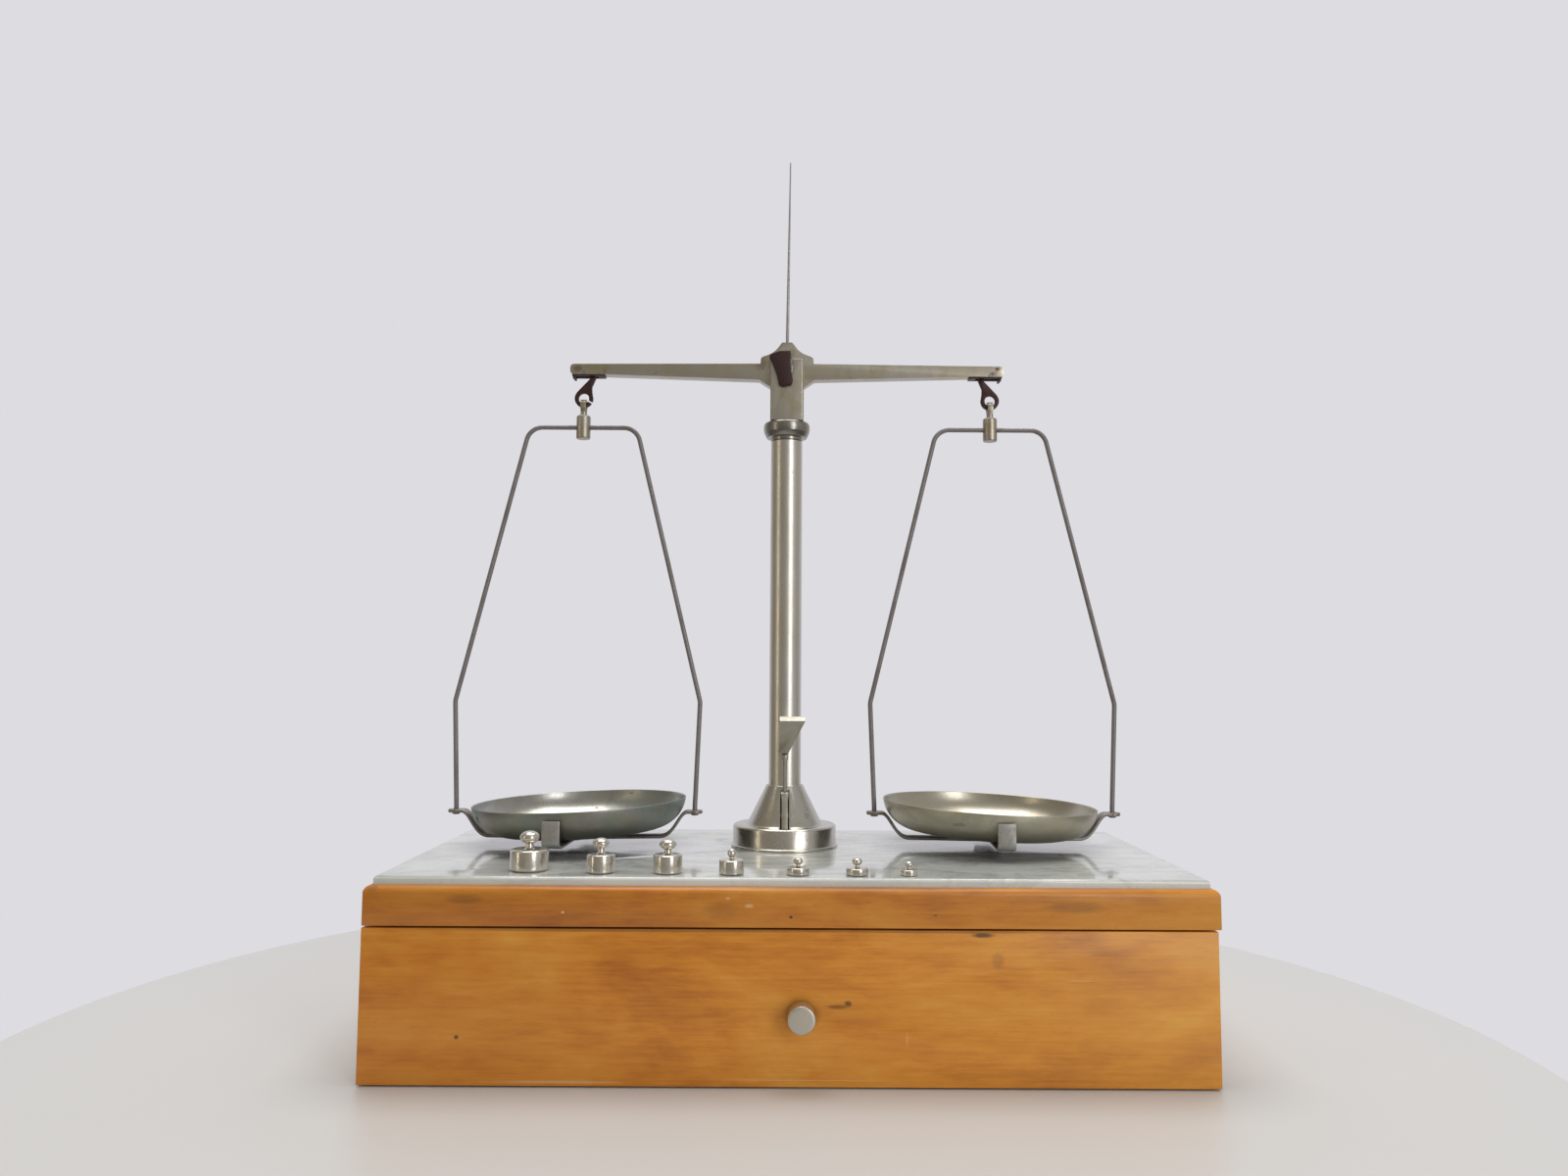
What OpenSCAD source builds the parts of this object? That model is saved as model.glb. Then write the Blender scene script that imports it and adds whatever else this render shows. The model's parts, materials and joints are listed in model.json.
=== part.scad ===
// Two-pan column balance on a marble-topped drawer case, with a set of seven weights.
// Millimetres. The origin is at the bottom centre of the case, +Z is up and -Y is the front.
// The beam stands lowered: the pans hang just clear of the marble and the lever is upright.

/* [Case] */
// Width of the case
case_w = 360; // [340:1:420]
// Depth of the case
case_d = 160; // [156:1:200]
// Height of the drawer bay, up to the underside of the top frame
bay_h = 65; // [62:1:90]
// Height of the top frame
frame_h = 16.5; // [16:0.5:24]
// Width of the top frame's rails
rail_w = 24; // [16:1:28]
// Radius along the top frame's upper edges
frame_r = 3; // [2:0.5:3]
// Thickness of the side and back boards
board_t = 10; // [8:0.5:14]
// Thickness of the bottom panel
bottom_t = 6; // [4:0.5:8]

/* [Drawer] */
// Thickness of the drawer front
front_t = 12; // [8:0.5:16]
// Height of the drawer's sides
drawer_h = 44; // [20:1:44]
// Thickness of the drawer's sides and back
drawer_side_t = 8; // [5:0.5:10]
// Diameter of the knob
knob_d = 11.5; // [8:0.5:20]
// Height of the knob's centre
knob_z = 30; // [20:1:45]
// Place of the knob to the right of the middle
knob_x = 4; // [0:0.5:8]

/* [Marble] */
// Wood left showing round the marble
marble_inset = 3.2; // [3.2:0.1:10]
// Thickness of the marble
marble_t = 10; // [8:0.5:12]
// Height of the marble above the frame
marble_proud = 3.5; // [2:0.5:5]

/* [Column] */
// Sideways place of the column
col_x = -3; // [-6:0.5:6]
// Place of the column behind the middle of the case
col_y = 18.3; // [14:0.1:20]
// Outer radius of the tube
tube_r = 8.1; // [8:0.1:9]
// Height of the collar's underside
collar_z = 292; // [280:1:310]
// Radius of the foot's flange
flange_r = 26; // [22:0.5:30]
// Radius of the lifting rod
rod_r = 4.5; // [4:0.1:4.8]

/* [Lever] */
// Rise of the beam when the lever is drawn forward
lift = 5; // [3:0.5:6]
// Angle that the lever turns through
throw_deg = 23; // [20:1:30]

/* [Beam] */
// Height of the centre knife's edge
axis_z = 331; // [330.5:0.1:331.5]
// Distance from the centre knife to an end knife
arm = 106; // [90:1:106]
// Length of the pointer above the hub
pointer_l = 98.5; // [60:0.5:120]
// Sideways lean of the pointer in degrees
pointer_lean = 0.7; // [0:0.1:1.5]
// Thickness of the beam
beam_t = 6.4; // [6:0.1:6.6]

/* [Pans] */
// Outer radius of a pan's rim
pan_r = 53.5; // [50:0.5:53.5]
// Thickness of a pan's sheet
pan_t = 0.8; // [0.6:0.1:1.2]
// Lean of the pans in degrees, lower on the outer side
pan_lean = 2.4; // [0:0.1:2.6]
// Half the width of a stirrup where it is widest
stirrup_half = 62.5; // [61.5:0.5:63.5]
// Radius of a stirrup's wire
wire_r = 1.2; // [1:0.1:1.3]

/* [Hidden] */
$fn = 64;

// Gaps: between pieces fixed together, in a running fit, and between pieces that move apart
fixed_gap = 0.05;
running_gap = 0.07;
free_gap = 0.4;
// Longer than any hole that it cuts
through = 60;

// Colours of the finishes
wood_colour = "peru";
inner_wood_colour = "burlywood";
marble_colour = "gainsboro";
nickel_colour = "darkgray";
steel_colour = "slategray";
rusted_colour = "saddlebrown";

// Case heights
frame_top = bay_h + frame_h;
marble_top = frame_top + marble_proud;
marble_bottom = marble_top - marble_t;
marble_edge_r = 1.5;
board_gap = 0.2;

// Drawer
front_lift = 0.6;
front_top_gap = 0.8;
front_side_gap = 1.4;
drawer_half = case_w / 2 - board_t - 0.8;
drawer_z = bottom_t + free_gap;
drawer_front_y = -case_d / 2 + front_t;
drawer_back_y = case_d / 2 - board_t - 2;
drawer_floor_z = drawer_z + 2;
drawer_floor_t = 4;
knob_neck_r = 3.4;
knob_neck_l = 2;
knob_l = 8;
knob_screw_r = 2;

// Column foot, measured up from the marble
lip_r = flange_r + 0.8;
flange_h = 10.8;
cone_r = 18.5;
cone_base_h = 12;
cone_top_r = 9.4;
foot_h = 30.4;
tube_seat_h = 23;
foot_cavity_r = 6.6;
slot_w = 4.2;
pocket_h = 5.6;
slot_top_h = 28.4;
tube_bore_r = 6.6;
stud_r = 4;
stud_top_h = 8;
stud_hole_r = 5;
washer_r = 11;
washer_t = 1.6;
nut_t = 6.5;
nut_flats = 13;

// Collar
collar_h = 9.5;
collar_top_z = collar_z + collar_h;
sleeve_l = 30;

// Lever: the nose under the rod swings from below the pivot's height to as far above it
pivot_z = marble_top + 16;
nose_arm = lift / (2 * sin(throw_deg / 2));
pivot_y = col_y - nose_arm * cos(throw_deg / 2);
nose_r = 2;
lever_pin_r = 1.25;
lever_t = 3;
stem_r = 0.95;
stem_collar_r = 1.6;
stem_collar_h = 2.4;
stem_bottom = 10;
stem_top = 32;
thumb_t = 3.4;
thumb_l = 21.5;
thumb_lean = 40;
rod_tip_r = 2.5;
rod_tip_l = 6;
rod_bottom_z = pivot_z - lift / 2 + nose_r + 0.15;

// Fork
fork_z = collar_top_z + 0.3;
fork_w = 17.2;
fork_d = 16;
fork_chamfer = 0.8;
fork_top_z = 334;
fork_gap = 8;
fork_gap_z = 318;
rod_seat_z = fork_z + 10;
notch_w = 5.6;
bearing_h = 4.9;
bearing_z = axis_z - 4.3;
cover_t = 2.4;

// Beam outline, above the case's underside
hub_top_z = 344;
hub_top_half = 3.2;
shoulder_half = 13.7;
shoulder_z = 336.4;
arm_top_z = 332.6;
arm_bottom_z = 324.1;
end_top_z = 331.9;
end_bottom_z = 326.4;
beam_half = arm + 7;
end_flat_x = arm - 12;
hub_foot_half = 8.8;
hub_foot_z = 320.4;
end_r = 2;
knife_half = 2.4;
knife_flank_h = 4.2;
knife_h = 6.4;
knife_l = 15;

// End knives and hooks
end_z = 328.6;
end_knife_half = 1.3;
end_knife_h = 1.9;
hook_slot_w = 3;
hook_slot_in = arm - 7.4;
hook_slot_out = arm + 4.4;
hook_slot_top = 331.3;
guard_t = 0.8;
guard_in = arm - 11;
guard_out = arm + 6;
guard_lug_h = 2;
hook_t = 2;
eye_drop = 14.5;
eye_r = 2.75;
eye_outer_r = 4.75;
hook_slit = 0.9;

// Swivel eye and boss
loop_w = 2.8;
loop_inner_r = 1.6;
loop_outer_r = 2.9;
loop_top_z = 312.3;
loop_bottom_z = 308.4;
stem_eye_r = 1.7;
boss_r = 3.65;
boss_z = 292.8;
boss_top_z = 305;
wire_z = 298.8;
chamber_z = 300.7;
chamber_top_z = 302.5;
chamber_r = 2.45;

// Stirrup wire
flare_half = 27.8;
flare_z = 157;
bend_r = 8.5;
low_bend_r = 6;
flare_deg = atan((stirrup_half - flare_half) / (wire_z - flare_z));
wire_head_r = 1.9;
wire_head_h = 1;

// Cradle
strap_t = 1.6;
strap_w = 7.4;
strap_z = marble_top + 2.8;
eyelet_z = 100.6;
eyelet_r = 3.9;
eyelet_half = stirrup_half - 2;
arm_t = 1.2;
arm_w = 8.4;
arm_turn_left = 1.7;
arm_turn_right = -4;
tab_y = pan_r + 0.8;
tab_top_z = 103;
rivet_r = 1.6;
rivet_head_r = 3.8;
rivet_head_h = 0.7;

// Pan: a nearly flat floor that runs into a tighter arc up to the steep rim
pan_z = strap_z + strap_t + arm_t + 0.5;
pan_shift = -2.9;
pan_side_w = 15.5;
pan_floor_r = 726;
pan_floor_half = pan_r - pan_side_w;
pan_floor_deg = asin(pan_floor_half / pan_floor_r);
pan_rim_deg = 82;
pan_side_r = pan_side_w / (sin(pan_rim_deg) - sin(pan_floor_deg));

// Weights: diameter, body height, knob diameter, knob height, full height, place across, place along
weights = [
    [16.6, 9.2, 8.6, 5.4, 17.0, -114.6, -60.7],
    [12.2, 8.0, 7.2, 4.4, 14.8, -82.7, -65.4],
    [12.4, 8.0, 7.4, 4.6, 14.6, -53.7, -65.7],
    [10.7, 6.2, 3.7, 3.7, 10.7, -26.0, -67.6],
    [9.7, 3.3, 4.2, 3.2, 7.4, 2.6, -68.6],
    [9.6, 3.1, 4.3, 3.2, 7.4, 28.0, -68.6],
    [7.3, 2.6, 3.4, 2.6, 6.0, 50.2, -68.8]
];
weight_rest_gap = 0.05;

// Points along an arc
function arc(centre, r, from, to, steps) =
    [for (i = [0:steps]) let(a = from + (to - from) * i / steps) centre + r * [cos(a), sin(a)]];
// Points along a cubic curve between two ends with two handles
function curve(p, q, r, s, steps) =
    [for (i = [0:steps]) let(t = i / steps, u = 1 - t)
        u * u * u * p + 3 * u * u * t * q + 3 * u * t * t * r + t * t * t * s];
function mirrored(points) = [for (i = [len(points) - 1:-1:0]) [-points[i][0], points[i][1]]];
function path_normal(path, i) =
    let(a = path[max(i - 1, 0)], b = path[min(i + 1, len(path) - 1)], d = (b - a) / norm(b - a))
    [-d[1], d[0]];

// A strip of even thickness along a path
module ribbon(path, t) {
    last = len(path) - 1;
    polygon(concat(
        [for (i = [0:last]) path[i] + path_normal(path, i) * t / 2],
        [for (i = [last:-1:0]) path[i] - path_normal(path, i) * t / 2]
    ));
}

// An outline in X and Z, given thickness along Y
module along_y(t) {
    rotate([90, 0, 0])
        linear_extrude(t, center = true)
            children();
}

// An outline in Y and Z, given thickness along X
module along_x(t) {
    rotate([90, 0, 90])
        linear_extrude(t, center = true)
            children();
}

// A block from a lowest corner to a highest corner
module block(low, high) {
    translate(low)
        cube(high - low);
}

// The column's own axis, at the underside of the case
module at_column() {
    translate([col_x, col_y, 0])
        children();
}

// The left arm's end for side -1 and the right arm's end for side 1, outer side along +X
module at_arm_end(side) {
    at_column()
        translate([side * arm, 0, 0])
            mirror([side < 0 ? 1 : 0, 0, 0])
                children();
}

// ---- Case ----

module crowned_outline(w, h, r) {
    translate([-w / 2, 0])
        square([w, h - r]);
    translate([-w / 2 + r, 0])
        square([w - 2 * r, h]);
    for (s = [-1, 1])
        translate([s * (w / 2 - r), h - r])
            circle(r);
}

// A flat block whose four upper edges are rounded
module crowned_block(w, d, h, r) {
    intersection() {
        along_y(d)
            crowned_outline(w, h, r);
        along_x(w)
            crowned_outline(d, h, r);
    }
}

module top_frame() {
    marble_w = case_w - 2 * marble_inset;
    marble_d = case_d - 2 * marble_inset;
    difference() {
        translate([0, 0, bay_h])
            crowned_block(case_w, case_d, frame_h, frame_r);
        block([-case_w / 2 + rail_w, -case_d / 2 + rail_w, 0],
              [case_w / 2 - rail_w, case_d / 2 - rail_w, frame_top + 1]);
        block([-marble_w / 2 - board_gap, -marble_d / 2 - board_gap, marble_bottom],
              [marble_w / 2 + board_gap, marble_d / 2 + board_gap, frame_top + 1]);
    }
}

// One mitred rail: the length of the frame's side, the frame's other side, and its turn
module top_rail(length, across, turn) {
    color(wood_colour)
        intersection() {
            top_frame();
            rotate([0, 0, turn])
                translate([0, -across / 2, 0])
                    linear_extrude(frame_top + 1)
                        polygon([[-length / 2, 0], [length / 2, 0],
                                 [length / 2 - rail_w, rail_w], [-length / 2 + rail_w, rail_w]]);
        }
}

module bottom_panel() {
    color(inner_wood_colour)
        block([-case_w / 2 + board_t, drawer_front_y + free_gap, 0],
              [case_w / 2 - board_t, case_d / 2 - board_t, bottom_t]);
}

module side_panel(side) {
    color(wood_colour)
        translate([side * (case_w - board_t) / 2, 0, 0])
            block([-board_t / 2, drawer_front_y + free_gap, 0], [board_t / 2, case_d / 2, bay_h]);
}

module back_panel() {
    color(wood_colour)
        block([-case_w / 2 + board_t, case_d / 2 - board_t, 0],
              [case_w / 2 - board_t, case_d / 2, bay_h]);
}

module support_board() {
    half_w = case_w / 2 - rail_w - board_gap;
    half_d = case_d / 2 - rail_w - board_gap;
    color(inner_wood_colour)
        difference() {
            block([-half_w, -half_d, bay_h], [half_w, half_d, marble_bottom]);
            at_column()
                cylinder(h = frame_top, r = stud_hole_r);
        }
}

module marble_slab() {
    color(marble_colour)
        difference() {
            translate([0, 0, marble_bottom])
                crowned_block(case_w - 2 * marble_inset, case_d - 2 * marble_inset, marble_t, marble_edge_r);
            at_column()
                cylinder(h = marble_top + 1, r = stud_hole_r);
        }
}

// ---- Drawer ----

module drawer_front() {
    color(wood_colour)
        difference() {
            block([-case_w / 2, -case_d / 2, front_lift],
                  [case_w / 2 - front_side_gap, drawer_front_y, bay_h - front_top_gap]);
            translate([knob_x, 0, knob_z])
                rotate([90, 0, 0])
                    cylinder(h = case_d, r = knob_screw_r + fixed_gap);
        }
}

module drawer_side(side) {
    inner = drawer_half - drawer_side_t;
    color(inner_wood_colour)
        block([min(side * inner, side * drawer_half), drawer_front_y, drawer_z],
              [max(side * inner, side * drawer_half), drawer_back_y, drawer_z + drawer_h]);
}

module drawer_back() {
    inner = drawer_half - drawer_side_t;
    color(inner_wood_colour)
        block([-inner, drawer_back_y - drawer_side_t, drawer_z], [inner, drawer_back_y, drawer_z + drawer_h]);
}

module drawer_bottom() {
    inner = drawer_half - drawer_side_t;
    color(inner_wood_colour)
        block([-inner, drawer_front_y, drawer_floor_z],
              [inner, drawer_back_y - drawer_side_t, drawer_floor_z + drawer_floor_t]);
}

module drawer_knob() {
    r = knob_d / 2;
    edge = 0.6;
    color(nickel_colour)
        translate([knob_x, -case_d / 2, knob_z])
            rotate([90, 0, 0])
                difference() {
                    rotate_extrude()
                        polygon([[0, 0], [knob_neck_r, 0],
                                 [knob_neck_r, knob_neck_l], [r - edge, knob_neck_l],
                                 [r, knob_neck_l + edge], [r, knob_neck_l + knob_l - edge],
                                 [r - edge, knob_neck_l + knob_l], [0, knob_neck_l + knob_l]]);
                    translate([0, 0, -1])
                        cylinder(h = knob_l, r = knob_screw_r + fixed_gap);
                }
}

module knob_screw() {
    head_r = 4;
    head_h = 2;
    reach = knob_l - 1.5;
    color(steel_colour)
        translate([knob_x, drawer_front_y + head_h, knob_z])
            rotate([90, 0, 0]) {
                cylinder(h = head_h, r = head_r);
                cylinder(h = head_h + front_t + reach, r = knob_screw_r);
            }
}

// ---- Column ----

module column_foot() {
    color(nickel_colour)
        difference() {
            at_column()
                translate([0, 0, marble_top])
                    difference() {
                        rotate_extrude()
                            polygon([[0, 0], [lip_r, 0], [lip_r, 1],
                                     [flange_r, 1.4], [flange_r, flange_h - 0.8],
                                     [flange_r - 0.8, flange_h], [cone_r + 0.8, flange_h],
                                     [cone_r, cone_base_h], [cone_top_r + 0.3, foot_h - 1],
                                     [cone_top_r, foot_h], [0, foot_h]]);
                        translate([0, 0, flange_h])
                            cylinder(h = foot_h, r = foot_cavity_r);
                        translate([0, 0, tube_seat_h])
                            cylinder(h = foot_h, r = tube_r + fixed_gap);
                        block([-slot_w / 2, -flange_r, flange_h], [slot_w / 2, 0, slot_top_h]);
                        block([-slot_w / 2, -22.4, pocket_h], [slot_w / 2, -8, flange_h + 1]);
                        translate([0, 0, -1])
                            cylinder(h = stud_top_h + 1, r = stud_r + fixed_gap);
                    }
            translate([col_x, pivot_y, pivot_z])
                rotate([0, 90, 0])
                    cylinder(h = through, r = lever_pin_r + fixed_gap, center = true);
        }
}

module foot_stud() {
    color(steel_colour)
        at_column()
            translate([0, 0, bay_h - washer_t - nut_t - 1])
                cylinder(h = marble_top + stud_top_h - fixed_gap - bay_h + washer_t + nut_t + 1, r = stud_r);
}

module foot_washer() {
    color(steel_colour)
        at_column()
            translate([0, 0, bay_h - washer_t])
                difference() {
                    cylinder(h = washer_t, r = washer_r);
                    translate([0, 0, -1])
                        cylinder(h = washer_t + 2, r = stud_r + fixed_gap);
                }
}

module foot_nut() {
    color(steel_colour)
        at_column()
            translate([0, 0, bay_h - washer_t - nut_t])
                difference() {
                    cylinder(h = nut_t, r = nut_flats / 2 / cos(30), $fn = 6);
                    translate([0, 0, -1])
                        cylinder(h = nut_t + 2, r = stud_r + fixed_gap);
                }
}

module column_tube() {
    foot_z = marble_top + tube_seat_h;
    color(nickel_colour)
        at_column()
            translate([0, 0, foot_z])
                difference() {
                    cylinder(h = collar_z - foot_z, r = tube_r);
                    translate([0, 0, -1])
                        cylinder(h = collar_z, r = tube_bore_r);
                }
}

module column_collar() {
    color(nickel_colour)
        at_column()
            translate([0, 0, collar_z])
                difference() {
                    union() {
                        rotate_extrude()
                            polygon([[0, 0], [tube_r, 0], [tube_r, 1.7], [10.4, 1.7], [11.6, 4.2],
                                     [12, 6.3], [11.9, 8.3], [11.4, 9.2], [10.9, collar_h],
                                     [0, collar_h]]);
                        translate([0, 0, -sleeve_l])
                            cylinder(h = sleeve_l + 1, r = tube_bore_r - fixed_gap);
                    }
                    translate([0, 0, -sleeve_l - 1])
                        cylinder(h = sleeve_l + collar_h + 2, r = rod_r + running_gap);
                }
}

module lever_pin() {
    color(steel_colour)
        intersection() {
            translate([col_x, pivot_y, pivot_z])
                rotate([0, 90, 0])
                    cylinder(h = through, r = lever_pin_r, center = true);
            at_column()
                translate([0, 0, marble_top + cone_base_h])
                    cylinder(h = foot_h - cone_base_h - 1, r1 = cone_r, r2 = cone_top_r + 0.3);
        }
}

// ---- Lever ----

module at_pivot() {
    translate([col_x, pivot_y, pivot_z])
        children();
}

module lever_arm() {
    bar_half = 1.8;
    tail_t = 2.2;
    color(nickel_colour)
        at_pivot()
            difference() {
                union() {
                    along_x(lever_t) {
                        circle(3);
                        polygon([[bar_half, -4.6], [bar_half, stem_bottom], [-2.4, stem_bottom],
                                 [-9.2, -5.2], [-8.6, -5.8], [-5.5, -5.8]]);
                        rotate(-throw_deg / 2) {
                            translate([0, -tail_t / 2])
                                square([nose_arm, tail_t]);
                            translate([nose_arm, 0])
                                circle(nose_r);
                        }
                    }
                    along_x(lever_t + 0.6)
                        translate([0, stem_bottom])
                            circle(bar_half);
                }
                rotate([0, 90, 0])
                    cylinder(h = through, r = lever_pin_r + running_gap, center = true);
            }
}

module lever_stem() {
    color(nickel_colour)
        at_pivot()
            translate([0, 0, stem_bottom + 1.85]) {
                cylinder(h = stem_top - stem_bottom - 3.7, r = stem_r);
                translate([0, 0, stem_top - stem_bottom - 3.7 - stem_collar_h])
                    cylinder(h = stem_collar_h, r = stem_collar_r);
            }
}

module thumb_piece() {
    knuckle_r = 1.8;
    color(nickel_colour)
        at_pivot()
            translate([0, 0, stem_top]) {
                along_x(lever_t + 0.4)
                    circle(knuckle_r);
                rotate([thumb_lean, 0, 0])
                    along_y(thumb_t)
                        polygon([[-3.2, 0.4], [1.8, 0.4], [9.8, thumb_l], [-2.7, thumb_l]]);
            }
}

// ---- Lifting head ----

module lift_rod() {
    color(steel_colour)
        at_column() {
            translate([0, 0, rod_bottom_z])
                cylinder(h = rod_tip_l + 1, r = rod_tip_r);
            translate([0, 0, rod_bottom_z + rod_tip_l])
                cylinder(h = rod_seat_z - rod_bottom_z - rod_tip_l, r = rod_r);
        }
}

module beam_fork() {
    half_w = fork_w / 2;
    half_d = fork_d / 2;
    c = fork_chamfer;
    color(nickel_colour)
        at_column()
            difference() {
                translate([0, 0, fork_z])
                    linear_extrude(fork_top_z - fork_z)
                        polygon([[-half_w + c, -half_d], [half_w - c, -half_d], [half_w, -half_d + c],
                                 [half_w, half_d - c], [half_w - c, half_d], [-half_w + c, half_d],
                                 [-half_w, half_d - c], [-half_w, -half_d + c]]);
                block([-fork_w, -fork_gap / 2, fork_gap_z], [fork_w, fork_gap / 2, fork_top_z + 1]);
                block([-notch_w / 2, -fork_d, bearing_z], [notch_w / 2, fork_d, fork_top_z + 1]);
                translate([0, 0, fork_z - 1])
                    cylinder(h = rod_seat_z - fork_z + 1 + fixed_gap, r = rod_r + fixed_gap);
            }
}

// Two hardened blocks with a shallow groove, one in each cheek of the fork
module knife_bearings() {
    half = notch_w / 2 - fixed_gap;
    groove_half = 1.5;
    groove_bottom = axis_z - bearing_z - 0.05;
    cheek_t = (fork_d - fork_gap) / 2;
    color(steel_colour)
        for (s = [-1, 1])
            at_column()
                translate([0, s * (fork_gap + cheek_t) / 2, bearing_z])
                    along_y(cheek_t - 0.2)
                        polygon([[-half, 0], [half, 0], [half, bearing_h], [groove_half, bearing_h],
                                 [0, groove_bottom], [-groove_half, bearing_h], [-half, bearing_h]]);
}

module pivot_cover() {
    color(rusted_colour)
        at_column()
            translate([-0.8, -(fork_d + cover_t) / 2, 327.6])
                along_y(cover_t)
                    polygon([[-8.4, 6.2], [-8.2, 7.6], [-7.2, 8.4], [-3.1, 9.9], [2.2, 10], [2.6, 9.5],
                             [2.5, 2.8], [3.8, -5.9], [3.3, -7.4], [-1.9, -8.5], [-3.4, -7.2],
                             [-4.7, -1.6], [-6.2, 2.2]]);
}

// ---- Beam ----

function knife_points(gap) = [
    [0, -2 * gap], [knife_half + gap, knife_flank_h], [knife_half + gap, knife_h + gap],
    [-knife_half - gap, knife_h + gap], [-knife_half - gap, knife_flank_h]
];

// Right half of the beam, from the top of the hub round to the foot of the hub
function beam_half_outline() = concat(
    [[hub_top_half - 0.7, hub_top_z], [hub_top_half, hub_top_z - 0.7]],
    curve([4.4, 341.6], [6.6, 338.4], [9.4, 337.4], [shoulder_half - 1, shoulder_z], 6),
    [[shoulder_half, shoulder_z - 1], [shoulder_half + 0.2, arm_top_z]],
    [[end_flat_x, end_top_z + 0.1]],
    arc([beam_half - end_r, end_top_z - end_r], end_r, 90, 0, 4),
    arc([beam_half - end_r, end_bottom_z + end_r], end_r, 0, -90, 4),
    [[end_flat_x, end_bottom_z], [shoulder_half + 0.8, arm_bottom_z], [hub_foot_half, hub_foot_z]]
);

module beam_outline() {
    right = beam_half_outline();
    polygon(concat(right, mirrored(right)));
}

module balance_beam() {
    color(nickel_colour)
        at_column()
            difference() {
                along_y(beam_t)
                    beam_outline();
                translate([0, 0, axis_z])
                    along_y(through)
                        polygon(knife_points(fixed_gap));
                translate([0, 0, hub_top_z - 3])
                    rotate([0, pointer_lean, 0])
                        cylinder(h = 4, r = 0.95);
                for (s = [-1, 1])
                    mirror([s < 0 ? 1 : 0, 0, 0]) {
                        block([hook_slot_in, -hook_slot_w / 2, 300],
                              [hook_slot_out, hook_slot_w / 2, hook_slot_top]);
                        translate([arm, 0, end_z])
                            along_y(through)
                                polygon(end_knife_points(0.04));
                    }
            }
}

module pointer_needle() {
    color(steel_colour)
        at_column()
            translate([0, 0, hub_top_z - 3 + fixed_gap])
                rotate([0, pointer_lean, 0]) {
                    cylinder(h = 3.4, r = 0.9);
                    translate([0, 0, 3])
                        cylinder(h = pointer_l, r1 = 0.85, r2 = 0.3);
                }
}

module centre_knife() {
    color(steel_colour)
        at_column()
            translate([0, 0, axis_z])
                along_y(knife_l)
                    polygon(knife_points(0));
}

function end_knife_points(gap) = [
    [0, 1.5 * gap], [-end_knife_half - gap, -end_knife_h - gap / 2],
    [end_knife_half + gap, -end_knife_h - gap / 2]
];

module end_knives() {
    color(steel_colour)
        for (s = [-1, 1])
            at_arm_end(s)
                translate([0, 0, end_z])
                    along_y(beam_t)
                        polygon(end_knife_points(0));
}

// A slotted plate under each end of the beam, with a lug at its outer end
module hook_guards() {
    color(rusted_colour)
        for (s = [-1, 1])
            at_column()
                mirror([s < 0 ? 1 : 0, 0, 0])
                    difference() {
                        union() {
                            block([guard_in, -beam_t / 2, end_bottom_z - guard_t],
                                  [guard_out, beam_t / 2, end_bottom_z]);
                            block([hook_slot_out, -beam_t / 2, end_bottom_z - guard_lug_h],
                                  [guard_out - 0.4, beam_t / 2, end_bottom_z - guard_t]);
                        }
                        block([hook_slot_in, -hook_slot_w / 2, 300],
                              [hook_slot_out, hook_slot_w / 2, end_bottom_z + 1]);
                    }
}

// ---- Hooks ----

// Flat hook, measured from the end knife's edge with the outer side along +X
module hook_outline() {
    difference() {
        union() {
            polygon([[0, 0.05], [1.5, -1.25], [2.5, -1.25], [3.3, -0.6], [3.3, 0.7], [2.3, 1.8], [0.6, 2],
                     [-2.6, 1.8], [-4.9, 0.6], [-6, -1.2], [-6, -3.8], [-4.1, -8.4], [-4.2, -11],
                     [-eye_outer_r, -eye_drop], [0, -eye_drop], [eye_outer_r - 0.9, 3.0 - eye_drop],
                     [-3.3, -3.8], [-3.4, -1.8], [-2.8, -1.25], [-1.5, -1.25]]);
            translate([0, -eye_drop])
                circle(eye_outer_r);
        }
        translate([0, -eye_drop])
            circle(eye_r);
    }
}

module pan_hook(side) {
    color(rusted_colour)
        at_arm_end(side)
            translate([0, 0, end_z])
                along_y(hook_t)
                    hook_outline();
}

// The left hook's eye is split low on its inner side
module pan_hook_left() {
    color(rusted_colour)
        difference() {
            pan_hook(-1);
            at_arm_end(-1)
                translate([0, 0, end_z - eye_drop])
                    rotate([0, 152, 0])
                        block([0, -hook_t, -hook_slit / 2], [eye_outer_r + 1, hook_t, hook_slit / 2]);
        }
}

// ---- Stirrups ----

module swivel_eye(side) {
    inner_top = loop_top_z - loop_inner_r;
    head_h = 1.2;
    color(nickel_colour)
        at_arm_end(side) {
            along_x(loop_w)
                difference() {
                    union() {
                        translate([0, inner_top])
                            circle(loop_outer_r);
                        translate([-loop_outer_r, loop_bottom_z])
                            square([2 * loop_outer_r, inner_top - loop_bottom_z]);
                        translate([-stem_eye_r, loop_bottom_z - 1.2])
                            square([2 * stem_eye_r, 1.3]);
                        translate([-loop_outer_r + 0.7, loop_bottom_z - 0.7])
                            square([2 * loop_outer_r - 1.4, 0.8]);
                    }
                    translate([0, inner_top])
                        circle(loop_inner_r);
                    translate([-loop_inner_r, loop_bottom_z])
                        square([2 * loop_inner_r, inner_top - loop_bottom_z]);
                }
            translate([0, 0, chamber_z + 0.2])
                cylinder(h = loop_bottom_z - chamber_z - 0.8, r = stem_eye_r);
            translate([0, 0, chamber_z + 0.2])
                cylinder(h = head_h, r = chamber_r - 0.1);
        }
}

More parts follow.
